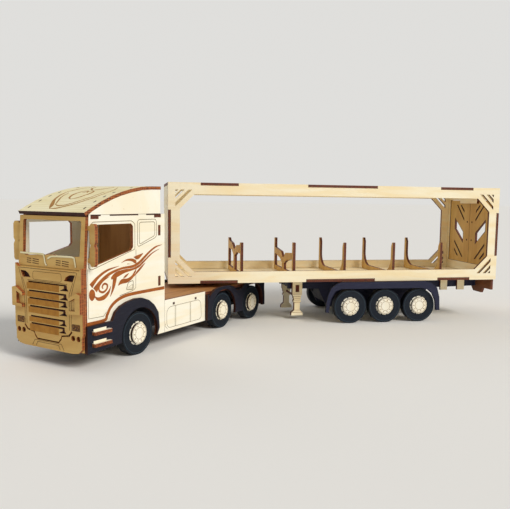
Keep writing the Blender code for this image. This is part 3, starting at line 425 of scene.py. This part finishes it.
# Widths of engraved lines, in millimetres
HAIR_LINE = 0.35
THIN_LINE = 0.4
PANEL_LINE = 0.45
SEAM_LINE = 0.5
WINDOW_LINE = 0.55
HANDLE_LINE = 0.6
SLOT_RIM = 0.7
VENT_LINE = 0.75
DOOR_RIM = 0.9
BELL_RIM = 1.0


def plane(origin, across, upward, outward):
    """A drawing plane: its first two coordinates run across and up, its third stands off it."""
    rows = Matrix((across, upward, outward)).transposed().to_4x4()
    return Matrix.Translation(origin) @ rows


def tractor_side(side, reach):
    """A plane on the tractor's left (1) or right (-1), this far out; it is drawn from the pin."""
    return plane(pin + side * reach * left_out, ahead, Z, side * left_out)


def tractor_front(reach):
    """A plane across the tractor, this far ahead of the pin; it is drawn from the middle."""
    return plane(pin + reach * ahead, left_out, Z, ahead)


def on_roof(mesh):
    """Lay a mesh on the bent roof; it is drawn forward of the pin and outward of the middle."""
    for vertex in mesh.vertices:
        forward, outward, height = vertex.co
        above = pin + forward * ahead + outward * left_out + ABOVE_ROOF * Z
        struck, place, normal, face = nodes["cab_roof"].ray_cast(above, -Z)
        if not struck:
            raise ValueError("a roof mark lies off the roof")
        vertex.co = place + height * normal


def place_piece(name, mesh, body, material, where):
    """Set a mesh in its place, by a plane or a function that lays it, and hang it on its body."""
    if isinstance(where, Matrix):
        mesh.transform(where)
    else:
        where(mesh)
    work = bmesh.new()
    work.from_mesh(mesh)
    bmesh.ops.remove_doubles(work, verts=work.verts[:], dist=JOIN)
    bmesh.ops.recalc_face_normals(work, faces=work.faces[:])
    work.to_mesh(mesh)
    work.free()
    mesh.materials.clear()
    mesh.materials.append(material)
    piece = bpy.data.objects.new(name, mesh)
    bpy.context.scene.collection.objects.link(piece)
    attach(piece, body)
    return piece


def curve_mesh(name, loops, closed=True, **settings):
    """A flat curve, given in millimetres, as a mesh: filled, or a bead along each of its paths."""
    curve = bpy.data.curves.new(name, "CURVE")
    for key, value in settings.items():
        setattr(curve, key, value)
    for loop in loops:
        line = curve.splines.new("POLY")
        line.points.add(len(loop) - 1)
        for point, (a, b) in zip(line.points, loop):
            point.co = (a * MM, b * MM, 0.0, 1.0)
        line.use_cyclic_u = closed
    drawn = bpy.data.objects.new(name, curve)
    bpy.context.scene.collection.objects.link(drawn)
    bpy.context.view_layer.update()
    ready = drawn.evaluated_get(bpy.context.evaluated_depsgraph_get())
    mesh = bpy.data.meshes.new_from_object(ready)
    bpy.data.objects.remove(drawn, do_unlink=True)
    return mesh


def patch(name, loops, where, body, material, depth=MARK):
    """Filled flat marks that stand off their sheet by a depth."""
    mesh = curve_mesh(name, loops, dimensions="2D", fill_mode="BOTH", extrude=depth / 2)
    mesh.transform(Matrix.Translation((0.0, 0.0, LIFT + depth / 2)))
    return place_piece(name, mesh, body, material, where)


def line_work(name, paths, width, where, body, material, closed=False, depth=MARK):
    """Engraved lines, their width in millimetres: beads along the paths, pressed nearly flat."""
    mesh = curve_mesh(name, paths, closed, dimensions="3D", bevel_depth=width * MM / 2,
                      bevel_resolution=0, use_fill_caps=not closed)
    mesh.transform(Matrix.Scale(depth / (width * MM), 4, Z))
    mesh.transform(Matrix.Translation((0.0, 0.0, LIFT + depth / 2)))
    return place_piece(name, mesh, body, material, where)


def smooth(points, steps=6):
    """A rounded path through the points, with as many numbers a point as they have."""
    out = []
    for k in range(len(points) - 1):
        before = points[max(k - 1, 0)]
        here, after = points[k], points[k + 1]
        beyond = points[min(k + 2, len(points) - 1)]
        for step in range(steps):
            t = step / steps
            blend = []
            for a, b, c, d in zip(before, here, after, beyond):
                blend.append(0.5 * (2 * b + (c - a) * t + (2 * a - 5 * b + 4 * c - d) * t ** 2
                                    + (3 * b - a - 3 * c + d) * t ** 3))
            out.append(tuple(blend))
    out.append(tuple(points[-1]))
    return out


def swoosh(points):
    """A tapering brush stroke: points are (across, up, half width) along its middle."""
    middle = smooth(points)
    left, right = [], []
    for k, (a, b, half) in enumerate(middle):
        before, after = middle[max(k - 1, 0)], middle[min(k + 1, len(middle) - 1)]
        run = Vector((after[0] - before[0], after[1] - before[1])).normalized()
        left.append((a - run.y * half, b + run.x * half))
        right.append((a + run.y * half, b - run.x * half))
    return left + right[::-1]


def rounded(points, radius, steps=4):
    """A closed outline with each corner turned by an arc-like curve."""
    out = []
    for k, here in enumerate(points):
        here = Vector(here)
        back = Vector(points[k - 1]) - here
        onward = Vector(points[(k + 1) % len(points)]) - here
        start = here + back.normalized() * min(radius, back.length / CORNER_PART)
        end = here + onward.normalized() * min(radius, onward.length / CORNER_PART)
        for step in range(steps + 1):
            t = step / steps
            point = start * (1 - t) ** 2 + here * 2 * t * (1 - t) + end * t ** 2
            out.append((point.x, point.y))
    return out


def ring(centre, radius, count=28):
    """A closed circle of short straight steps."""
    return [(centre[0] + radius * math.cos(2 * math.pi * k / count),
             centre[1] + radius * math.sin(2 * math.pi * k / count)) for k in range(count)]


def oblong(a0, a1, b0, b1):
    """A rectangle, from its reach across and its reach up."""
    return [(a0, b0), (a1, b0), (a1, b1), (a0, b1)]


def mirrored(paths):
    """The paths and their mirror images across the middle line."""
    return paths + [[(-a, b) for a, b in path] for path in paths]


# Tones of a burnt mark: its darkest and its palest
ENGRAVED = ("#8C4712", "#B4641F")       # flame and arch band: orange brown
TOASTED = ("#A06818", "#BC842E")        # grille bands: hardly darker than the sheet
ROOF_TOAST = ("#96641F", "#B5853C")     # roof scroll: light brown
FINE = ("#7C6A44", "#978560")           # scored lines on pale sheet: grey brown
FRONT_FINE = ("#5A3A16", "#7A5626")     # scored lines on the front: dark brown
LAMP = ("#4A2A10", "#6E4A1E")           # headlamps: dark brown
SOOT = ("#2E140A", "#4A2412")           # cuts: nearly black
FRONT_SOOT_AND_SHADE = ("#2A100A", "#43170F")     # cuts in the front, and painted shade in its hollows: nearly black, a little redder
HUB_INK = ("#8A6A3E", "#A88658")        # hub rings and bolts: faint brown
TAB_END = ("#4A1A0E", "#6B2E18")        # the leg tab's burnt end: dark red brown
LEG_INK = ("#A0703C", "#B98A50")        # the leg's rings: faint brown
GRILLE_PITCH = 0.8 * MM

engraved_side = burnt_mark("deep_engraving_cab_side", ENGRAVED, left_out, ahead)
scored_side = burnt_mark("scored_line_cab_side", FINE, left_out, ahead)
soot_side = burnt_mark("deep_cut_cab_side", SOOT, left_out, ahead)
toasted_front = burnt_mark("light_engraving_cab_front", TOASTED, ahead, Z, GRILLE_PITCH)
scored_front = burnt_mark("scored_line_cab_front", FRONT_FINE, ahead, left_out)
# Near black for the front's cuts, also used as painted shade in the front's hollows and openings.
soot_and_shade_front = burnt_mark("deep_cut_cab_front", FRONT_SOOT_AND_SHADE, ahead, left_out)
lamp_front = burnt_mark("deep_engraving_headlamp", LAMP, ahead, left_out)
engraved_roof = burnt_mark("deep_engraving_cab_roof", ROOF_TOAST, Z, left_out)
soot_roof = burnt_mark("deep_cut_cab_roof", SOOT, Z, ahead)
scored_tractor_wheel = burnt_mark("scored_line_tractor_wheel", HUB_INK, left_out, ahead)
scored_trailer_wheel = burnt_mark("scored_line_trailer_wheel", HUB_INK, Y, X)
soot_door = burnt_mark("charred_rim_rear_door", SOOT, X, Y)
tab_end = burnt_mark("burnt_tab_end_landing_leg", TAB_END, Y, X)
scored_leg = burnt_mark("scored_line_landing_leg", LEG_INK, Y, X)
# The tyres' paler line: cut edge grey with a painted highlight.
tyre_edge_highlight_tractor = black_paint("worn_black_paint_tractor_tyre", left_out, ahead, TYRE_EDGE_GREY_AND_HIGHLIGHT)
tyre_edge_highlight_trailer = black_paint("worn_black_paint_trailer_tyre", Y, X, TYRE_EDGE_GREY_AND_HIGHLIGHT)

# Cab sides: flame scroll, door and window lines, wheel-arch band. Places are millimetres forward of
# the kingpin and above the floor.
flame_strokes = [
    [(237.5, 66.5, 2.3), (230.0, 73.5, 1.4), (220.0, 78.8, 1.1), (206.0, 82.0, 0.8),
     (191.5, 82.6, 1.0), (183.5, 85.0, 1.1), (176.5, 89.2, 1.0), (168.0, 94.6, 0.8),
     (159.5, 98.4, 0.6), (150.5, 99.9, 0.1)],
    [(242.0, 70.5, 1.9), (234.0, 77.0, 1.1), (223.0, 82.0, 0.8), (209.0, 84.4, 0.1)],
    [(218.5, 74.2, 0.8), (212.5, 77.0, 2.0), (202.5, 79.2, 1.4), (191.5, 80.1, 0.8),
     (183.0, 82.2, 0.9), (175.0, 86.9, 0.7), (165.5, 92.4, 0.5), (154.5, 96.2, 0.1)],
    [(213.5, 77.2, 1.9), (214.8, 71.0, 1.7), (216.6, 65.0, 1.1), (219.8, 58.8, 0.1)],
    [(228.2, 66.6, 0.3), (229.2, 68.6, 0.6), (226.8, 70.8, 0.7), (223.4, 69.4, 0.7),
     (224.0, 65.9, 0.7), (228.3, 63.7, 0.8), (232.6, 65.6, 0.7), (232.4, 69.6, 0.6),
     (227.8, 73.6, 0.5), (220.5, 76.4, 0.1)],
    [(238.0, 61.5, 0.2), (234.0, 58.6, 1.2), (227.2, 59.2, 1.6), (221.8, 63.0, 1.0),
     (219.0, 68.0, 0.1)],
    [(206.0, 87.0, 0.1), (199.5, 88.9, 0.6), (192.0, 88.4, 1.1), (188.0, 85.9, 1.3),
     (191.6, 84.4, 0.8), (198.5, 85.4, 0.2)],
    [(210.2, 67.4, 0.2), (205.4, 70.3, 1.7), (198.2, 70.6, 1.5), (192.0, 73.4, 1.1),
     (189.0, 77.0, 0.7), (186.6, 80.2, 0.2)],
    [(203.6, 73.0, 0.2), (200.4, 74.8, 0.8), (196.4, 76.8, 0.1)],
    [(190.4, 73.0, 0.1), (185.4, 77.0, 0.8), (180.0, 80.8, 0.8), (174.8, 84.4, 0.1)],
    [(190.2, 91.0, 0.1), (184.8, 90.4, 1.6), (177.4, 93.6, 0.1)],
]
flame_bud = [(240.9, 68.4), (237.6, 65.6), (237.2, 60.6), (240.8, 57.2), (244.2, 60.6),
             (244.2, 65.6)]
arch_band = [(246.9, 38.9), (227.2, 39.2), (223.8, 43.4), (219.4, 49.6), (211.6, 54.4),
             (202.0, 56.9), (188.0, 57.7), (147.2, 57.7)]
window_line = [(241.8, 120.9), (239.2, 123.7), (192.5, 123.8), (188.4, 120.9), (188.5, 98.0),
               (241.1, 83.9), (244.2, 85.9)]
door_seams = [[(187.1, 97.6), (187.1, 92.6), (187.7, 62.6), (191.5, 60.5), (208.4, 58.0)],
              [(245.5, 85.0), (244.9, 43.4), (227.9, 42.9), (224.5, 46.1)]]
sleeper_window = [(185.0, 99.6), (185.0, 124.6), (158.7, 124.6), (158.7, 107.6)]
sleeper_inner = [(182.5, 102.0), (182.5, 122.2), (161.1, 122.2), (161.1, 109.2)]
handle_cup = [(200.1, 62.3), (197.4, 68.6), (190.9, 69.8), (190.9, 61.6)]
handle_lip = [(199.2, 63.6), (191.9, 62.9), (191.9, 66.2)]
skirt_panel = [(143.4, 21.0), (143.4, 34.0), (138.8, 37.6), (90.6, 37.9), (86.8, 34.6),
               (85.6, 19.4), (88.6, 16.8), (140.6, 16.8)]
skirt_ribs = [[(a, 17.0), (a, 37.4)] for a in (129.2, 130.4, 104.4, 105.6)]
skirt_ribs.append([(145.4, 21.6), (145.0, 18.6), (142.4, 16.0)])
FLAME_WIDTH = 1.2       # the flame's strokes are drawn this much wider than listed
BAND_HALF = 1.5
BAND_DEPTH = 1.3 * MARK
SKIRT_SLOTS = (132.5, 96.0)
SKIRT_SLOT_HALF = 1.5
SKIRT_SLOT_LEVEL = (39.0, 41.4)

for side, word in SIDES:
    face = tractor_side(side, cab_half)
    for number, points in enumerate(flame_strokes):
        wide = [(a, b, FLAME_WIDTH * half) for a, b, half in points]
        patch("flame_%s_%02d" % (word, number + 1), [swoosh(wide)], face, "tractor",
              engraved_side, MARK + number * RISE)
    patch("flame_bud_" + word, [rounded(flame_bud, 2.2)], face, "tractor", engraved_side)
    band = swoosh([(a, b, BAND_HALF) for a, b in arch_band])
    patch("arch_band_" + word, [band], face, "tractor", engraved_side, BAND_DEPTH)
    line_work("door_window_line_" + word, [rounded(window_line, 1.5)], WINDOW_LINE, face,
              "tractor", scored_side, closed=True)
    line_work("door_seams_" + word, door_seams, SEAM_LINE, face, "tractor", scored_side)
    line_work("sleeper_window_lines_" + word,
              [rounded(sleeper_window, 3.2), rounded(sleeper_inner, 2.4)], WINDOW_LINE, face,
              "tractor", scored_side, closed=True)
    line_work("door_handle_" + word, [rounded(handle_cup, 1.6), handle_lip], HANDLE_LINE, face,
              "tractor", scored_side, closed=True)
    slots = [oblong(a - SKIRT_SLOT_HALF, a + SKIRT_SLOT_HALF, *SKIRT_SLOT_LEVEL)
             for a in SKIRT_SLOTS]
    patch("skirt_slots_" + word, slots, face, "tractor", soot_side)
    line_work("skirt_panel_line_" + word, [rounded(skirt_panel, 2.6)], PANEL_LINE, face,
              "tractor", scored_side, closed=True)
    line_work("skirt_ribs_" + word, skirt_ribs, THIN_LINE, face, "tractor", scored_side)

# Cab front: grille bands, lamps, badge plate left bare, bumper panel and wiper lips.
# The grille's painted shade lies this far behind the fascia's back.
GRILLE_SHADE_GAP = 0.2 * MM
front = tractor_front(fascia_face)
wall = tractor_front(span("front_wall", ahead)[1])
grille_shade_plane = tractor_front(fascia_face - SHEET - GRILLE_SHADE_GAP)
GRILLE_BANDS = ((-26.1, 14.8, 64.4, 69.9), (-25.4, 14.6, 57.5, 62.2), (-24.8, 14.4, 50.9, 55.8),
                (-24.1, 14.2, 43.6, 48.7), (-23.3, 14.0, 35.8, 40.0), (-22.7, 13.8, 27.5, 33.7))
# Each slot's top, and where its bell starts and ends. The drops are from the slot's top.
BELLS = ((70.0, 16.2, 25.8), (62.3, 15.7, 25.1), (55.9, 15.4, 24.5), (48.8, 14.9, 23.8),
         (40.1, 14.4, 23.0), (33.8, 14.0, 22.4))
BELL_TAPER = 5.0
BELL_END = 1.8
TIP_DROP, NECK_DROP, WAIST_DROP, FLARE_DROP = 4.0, 2.2, 2.0, 3.7
RIM_START = 2.0         # the plain part of a slot's rim starts this far in from its far end
HEADLAMP = (-39.2, -29.9, 33.6, 39.2)
LAMP_WELL_SHADE = (-36.0, -21.2, 74.0, 82.0)
GRILLE_SHADE = (-26.4, 26.4, 27.6, 72.6)
BADGE_PLATE = (-17.8, 17.8, 73.0, 80.2)
RAISED = 1.2 * MARK     # a mark that lies over another is this deep
GLINT = 1.5 * MARK
patch("grille_bands", [oblong(*band) for band in GRILLE_BANDS], front, "tractor", toasted_front)
frame_lines = mirrored([[(-36.3, 82.3), (-33.0, 73.7), (-29.3, 63.2), (-28.8, 33.2)],
                        [(-31.5, 73.8), (-26.9, 63.4), (-26.7, 33.4)]])
frame_lines += [[(-24.8, 71.9), (24.8, 71.9)], [(-35.6, 82.4), (35.6, 82.4)]]
line_work("front_panel_lines", frame_lines, SEAM_LINE, front, "tractor", scored_front)
headlamps = mirrored([rounded(oblong(*HEADLAMP), 0.6)])
patch("headlamps", headlamps, front, "tractor", lamp_front)
lamp_strokes = mirrored([[(-38.0, 38.0), (-35.8, 35.0)], [(-36.6, 38.4), (-33.2, 38.2)],
                         [(-34.6, 36.6), (-32.6, 34.6), (-30.8, 34.8)],
                         [(-32.0, 38.2), (-31.0, 36.4)]])
line_work("headlamp_glints", lamp_strokes, SEAM_LINE, front, "tractor", toasted_front,
          depth=GLINT)
# Dark patches on the front wall behind the upper lamp openings: painted shade seen through them.
patch("lamp_wells", mirrored([oblong(*LAMP_WELL_SHADE)]), wall, "tractor", soot_and_shade_front)
# A dark sheet just behind the fascia, across the grille: painted shade of the hollow seen through
# the slots.
patch("grille_lining", [oblong(*GRILLE_SHADE)], grille_shade_plane, "tractor", soot_and_shade_front)
# The bells' and slots' dark rims: their burnt cut edges, thickened with painted shade of the
# hollows behind.
bells, slot_rims = [], []
for k, (level, tip, reach) in enumerate(BELLS):
    neck, waist = tip + BELL_TAPER, reach - BELL_END
    bells.append([(tip, level - TIP_DROP), (neck, level - NECK_DROP), (neck, level),
                  (waist, level), (waist, level - WAIST_DROP), (reach, level - FLARE_DROP)])
    if k:
        slot_rims.append([(-reach + RIM_START, level), (neck, level)])
line_work("grille_bell_rims", bells, BELL_RIM, front, "tractor", soot_and_shade_front, closed=True)
line_work("grille_slot_rims", slot_rims, SLOT_RIM, front, "tractor", soot_and_shade_front, depth=RAISED)
bumper_lines = [[(-19.8, 15.2), (-16.6, 20.2), (16.6, 20.2), (19.8, 15.2)],
                [(-15.2, 15.2), (-13.2, 18.8), (13.2, 18.8), (15.2, 15.2)]]
line_work("bumper_lines", bumper_lines, SEAM_LINE, front, "tractor", scored_front)
line_work("badge_plate_line", [rounded(oblong(*BADGE_PLATE), 2.2)], HAIR_LINE, front,
          "tractor", scored_front, closed=True)

# Windshield frame: it leans back, so its marks lie on a leaning plane.
TOP_EDGE = 0.5 * MM     # vertices this near the frame's top belong to its top edge
frame_foot, frame_top = span("windshield_frame", Z)
crest = [(v.co - pin).dot(ahead) for v in nodes["windshield_frame"].data.vertices
         if v.co.z > frame_top - TOP_EDGE]
foot_front = span("windshield_frame", ahead)[1]
upward = (Z * (frame_top - frame_foot) + ahead * (max(crest) - foot_front)).normalized()
foot_point = pin + foot_front * ahead + frame_foot * Z
screen = plane(foot_point - upward * frame_foot, left_out, upward, left_out.cross(upward))
LIP_HALF = 0.75
LIP_DEPTH = 0.45 * MM
wiper_lips = [[(-38.4, 95.0), (-26.4, 94.9), (-9.7, 94.9), (-7.2, 92.8), (-5.4, 87.4),
               (-3.4, 85.6)],
              [(-2.6, 91.4), (2.0, 93.6), (14.0, 94.3), (27.9, 94.3), (30.0, 91.7), (31.6, 86.1)]]
lips = [swoosh([(a, b, LIP_HALF) for a, b in path]) for path in wiper_lips]
patch("wiper_lips", lips, screen, "tractor", finishes["wiper"], LIP_DEPTH)
VENT_STARTS = (-29.6, 7.4)
VENT_LEVELS = (90.6, 88.8, 87.0)
VENT_STROKES = (((0.0, 0.0), (5.8, -0.2)), ((7.4, -0.2), (15.6, -0.8)))
vent_marks = [[(start + a, level_up + b) for a, b in stroke]
              for start in VENT_STARTS for level_up in VENT_LEVELS for stroke in VENT_STROKES]
line_work("screen_vent_marks", vent_marks, VENT_LINE, screen, "tractor", scored_front)

# Pale pads over the treads, where the cab's own sheet shows through the black panel.
PAD_HEIGHT = 2.0
PAD_DEPTH = 0.2 * MM
PAD_FROM_REAR, PAD_FROM_FRONT = 4.0, 1.0
TREAD_PART = 5 * MM     # vertices this far outside the cab's side belong to the treads
tread_corners = [v.co for v in nodes["cab_side_left"].data.vertices
                 if (v.co - pin).dot(left_out) > cab_half + TREAD_PART]
levels = sorted({round(corner.z / MM, 2) for corner in tread_corners})
tread_run = sorted((corner - pin).dot(ahead) / MM for corner in tread_corners)
panel_half = span("step_arch_panel_left", left_out)[1]
for side, word in SIDES:
    face = tractor_side(side, panel_half)
    pads = [oblong(tread_run[0] + PAD_FROM_REAR, tread_run[-1] - PAD_FROM_FRONT, top,
                   top + PAD_HEIGHT) for top in levels[1::2]]
    patch("tread_pads_" + word, pads, face, "tractor", finishes["skirt"], PAD_DEPTH)

# Cab top: seam slots on the sides, rib slots and a plain scroll on the bent roof.
SEAM_LEVEL = (128.6, 129.9)
SEAM_SLOTS = ((230.1, 241.0), (183.8, 219.6), (153.3, 173.1))
for side, word in SIDES:
    slots = [oblong(*run, *SEAM_LEVEL) for run in SEAM_SLOTS]
    patch("seam_slots_" + word, slots, tractor_side(side, cab_half), "tractor", soot_side)
# The roof's front edge: a dark strip, its cut edge's char deepened by painted shade.
ROOF_NOSE = ((247.2, 128.9), (248.6, 131.6))
nose_foot, nose_top = (pin + a * MM * ahead + b * MM * Z for a, b in ROOF_NOSE)
nose_up = (nose_top - nose_foot).normalized()
nose = plane((nose_foot + nose_top) / 2, left_out, nose_up, left_out.cross(nose_up))
nose_reach = (nose_top - nose_foot).length / MM / 2
roof_half = span("cab_roof", left_out)[1] / MM
patch("roof_nose_char", [oblong(-roof_half, roof_half, -nose_reach, nose_reach)], nose,
      "tractor", soot_and_shade_front)
RIB_SLOTS = (241.7, 230.3, 219.0, 208.0, 186.0, 166.0)
RIB_SLOT_HALF = 1.5
RIB_SLOT_INNER, RIB_SLOT_OUTER = 33.6, 35.0
rib_slots = [oblong(forward - RIB_SLOT_HALF, forward + RIB_SLOT_HALF, side * RIB_SLOT_INNER,
                    side * RIB_SLOT_OUTER) for side in (1, -1) for forward in RIB_SLOTS]
patch("roof_rib_slots", rib_slots, on_roof, "tractor", soot_roof)
scroll = [[(243.6, -6.4, 0.2), (239.0, -9.0, 1.7), (233.6, -13.6, 1.7), (226.0, -19.4, 1.1),
           (216.0, -23.4, 0.9), (206.0, -25.0, 0.8), (194.0, -23.0, 0.6), (184.0, -17.0, 0.3)],
          [(243.6, -6.4, 0.2), (243.0, 1.0, 0.9), (240.0, 7.6, 0.9), (233.6, 16.6, 0.8),
           (224.0, 23.4, 0.7), (212.0, 26.6, 0.6), (198.0, 25.0, 0.5), (186.0, 18.0, 0.3)],
          [(236.6, -6.8, 0.3), (238.6, -0.4, 0.7), (236.4, 7.4, 0.7), (229.0, 15.0, 0.6),
           (219.0, 20.4, 0.5), (207.0, 21.6, 0.3)],
          [(236.6, -6.8, 0.3), (230.0, -11.0, 0.7), (221.0, -16.6, 0.6), (210.0, -19.6, 0.3)]]
curl = [(226.0, 0.0, 0.2), (222.0, 5.4, 0.9), (214.0, 8.6, 1.0), (206.0, 7.4, 0.8),
        (202.6, 2.8, 0.6), (206.0, 0.6, 0.5), (209.4, 3.0, 0.3)]
leaf = [(200.0, 0.0, 0.2), (196.0, 5.0, 0.9), (191.0, 9.6, 0.8), (184.0, 11.6, 0.2)]
for stroke in (curl, leaf):
    scroll += [stroke, [(a, -b, half) for a, b, half in stroke]]
for number, points in enumerate(scroll):
    patch("roof_scroll_%02d" % (number + 1), [swoosh(points)], on_roof, "tractor",
          engraved_roof, MARK + number * RISE)

# Wheels: an engraved hub ring and its bolts on every cap, and a paler grey line round each tyre,
# its cut edge's grey with a painted highlight.
HUB_RING = 5.4
RIM_RING = 8.9
BOLT_RING = 7.1
BOLT = 0.6
BOLTS = 10
TYRE_LINE = 18.4
hub_rings = [ring((0, 0), HUB_RING), ring((0, 0), RIM_RING)]
bolts = [ring(place, BOLT, count=8) for place in ring((0, 0), BOLT_RING, BOLTS)]
for name, joint in joints.items():
    if not name.endswith("_spin"):
        continue
    stem = name.replace("_wheels", "").replace("_spin", "")
    on_tractor = joint["parent"] == "tractor"
    body = joint["child"]
    outward = left_out if on_tractor else -Y
    run = ahead if on_tractor else X
    ink = scored_tractor_wheel if on_tractor else scored_trailer_wheel
    tyre_edge_highlight = tyre_edge_highlight_tractor if on_tractor else tyre_edge_highlight_trailer
    centre = Vector(joint["pos_m"])
    for side, word in SIDES:
        reach = span(stem + "_axle", side * outward, centre)[1]
        hub = plane(centre + side * reach * outward, run, Z, side * outward)
        line_work("hub_rings_%s_%s" % (body, word), hub_rings, THIN_LINE, hub, body, ink,
                  closed=True)
        patch("hub_bolts_%s_%s" % (body, word), bolts, hub, body, ink)
        tyre_reach = span("%s_tyre_%s" % (stem, word), side * outward, centre)[1]
        tyre = plane(centre + side * tyre_reach * outward, run, Z, side * outward)
        line_work("tyre_line_%s_%s" % (body, word), [ring((0, 0), TYRE_LINE, count=48)],
                  SEAM_LINE, tyre, body, tyre_edge_highlight, closed=True)

# Landing legs: the cross sheet's tab in each slot, and turned rings cut as lines.
legs_low, legs_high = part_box("landing_legs")
leg_middle = (legs_low.x + legs_high.x) / 2
LEG_TAB = (-2.1, 2.1, 33.7, 42.1)
LEG_RINGS = ((31.0, 5.4), (28.1, 4.2), (25.6, 3.6), (23.6, 3.6), (21.0, 4.2), (11.4, 3.2),
             (8.6, 6.2))
TAB_INSET = 0.1 * MM    # the tab starts this far behind the leg's sheet
TAB_DEPTH = SHEET + 0.2 * MM
for word, level_y, way in (("left", legs_low.y, -Y), ("right", legs_high.y, Y)):
    outer = plane(Vector((leg_middle, level_y, 0.0)), X, Z, way)
    inside = plane(Vector((leg_middle, level_y, 0.0)) - way * (SHEET + TAB_INSET), X, Z, way)
    patch("leg_tab_" + word, [oblong(*LEG_TAB)], inside, "trailer", tab_end, TAB_DEPTH)
    rings = [[(-reach, height), (reach, height)] for height, reach in LEG_RINGS]
    line_work("leg_rings_" + word, rings, THIN_LINE, outer, "trailer", scored_leg)

# Rear doors: charred rims round the slots and the window, and burnt peg ends.
door_openings = [[(-33.1, 141.1), (-30.8, 141.1), (-13.7, 122.8), (-13.7, 120.2)],
                 [(-23.6, 140.6), (-21.2, 140.6), (-14.0, 133.7), (-14.0, 131.1)],
                 [(-36.5, 108.3), (-36.5, 123.1), (-14.7, 105.0), (-14.7, 90.4)],
                 [(-36.0, 90.1), (-36.0, 92.7), (-14.2, 71.4), (-16.6, 71.4)],
                 [(-35.7, 79.0), (-35.7, 81.5), (-25.7, 72.0), (-28.1, 72.0)]]
door_pegs = [(-5.6, 94.9), (-5.6, 118.8)]
PEG_RADIUS = 1.25
deck_low, deck_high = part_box("trailer_deck")
middle_y = (deck_low.y + deck_high.y) / 2
inner = plane(Vector((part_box("rear_door_left")[0].x, middle_y, 0.0)), Y, Z, -X)
for side, word in SIDES:
    rims = [[(side * a, b) for a, b in loop] for loop in door_openings]
    line_work("door_rims_" + word, rims, DOOR_RIM, inner, "rear_door_" + word, soot_door,
              closed=True)
    pegs = [ring((side * a, b), PEG_RADIUS, count=12) for a, b in door_pegs]
    patch("door_pegs_" + word, pegs, inner, "rear_door_" + word, soot_door)

# Floor, light and backdrop. The floor runs far out, and the sky shows the floor's own colour.
AMBIENT = 0.38
KEY_FROM = Vector((0.50, -0.64, 0.58)).normalized()
BACK_FROM = Vector((-0.50, 0.60, 0.62)).normalized()
KEY_SHARE = 0.63
BACK_SHARE = 0.12
KEY_SPREAD = 24.0
BACK_SPREAD = 40.0
FLOOR_TONE = linear("#F4F3F0")
FLOOR_REACH = 40.0

# Matt white paint on the studio floor: pale, plain, and without a reflection of the model
floor_mesh = bpy.data.meshes.new("floor")
work = bmesh.new()
bmesh.ops.create_grid(work, x_segments=1, y_segments=1, size=FLOOR_REACH)
work.to_mesh(floor_mesh)
work.free()
floor = bpy.data.objects.new("floor", floor_mesh)
bpy.context.scene.collection.objects.link(floor)
floor_paint, tree, shader = new_material("matt_white_studio_floor")
feed(tree, shader, {"Base Color": FLOOR_TONE, "Roughness": 0.9, "Specular IOR Level": 0.0})
floor.data.materials.append(floor_paint)

world = bpy.data.worlds.new("studio")
world.use_nodes = True
bpy.context.scene.world = world
sky = world.node_tree
background = sky.nodes["Background"]
feed(sky, background, {"Color": (1.0, 1.0, 1.0, 1.0), "Strength": AMBIENT})
floor_light = AMBIENT + KEY_SHARE * KEY_FROM.z + BACK_SHARE * BACK_FROM.z
floor_colour = tuple(floor_light * part for part in FLOOR_TONE[:3]) + (1.0,)
backdrop = add(sky, "ShaderNodeBackground", None, {"Color": floor_colour, "Strength": 1.0})
path = add(sky, "ShaderNodeLightPath").outputs
seen = maths(sky, "MAXIMUM", path["Is Camera Ray"], path["Is Glossy Ray"])
seen = maths(sky, "MAXIMUM", seen, path["Is Transmission Ray"])
shown = add(sky, "ShaderNodeMixShader", None,
            {0: seen, 1: background.outputs[0], 2: backdrop.outputs[0]})
sky.links.new(shown.outputs[0], sky.nodes["World Output"].inputs["Surface"])


def soft_sun(name, direction, share, spread, tint):
    """A wide soft lamp; a surface that faces it gets this share of full white from it."""
    light = bpy.data.lights.new(name, "SUN")
    light.angle = math.radians(spread)
    light.energy = share * math.pi
    light.color = linear(tint)[:3]
    made = bpy.data.objects.new(name, light)
    made.rotation_euler = direction.to_track_quat("Z", "Y").to_euler()
    bpy.context.scene.collection.objects.link(made)


soft_sun("key", KEY_FROM, KEY_SHARE, KEY_SPREAD, "#FFFBF4")
soft_sun("back", BACK_FROM, BACK_SHARE, BACK_SPREAD, "#FFFFFF")

bpy.context.scene.view_settings.view_transform = "Standard"
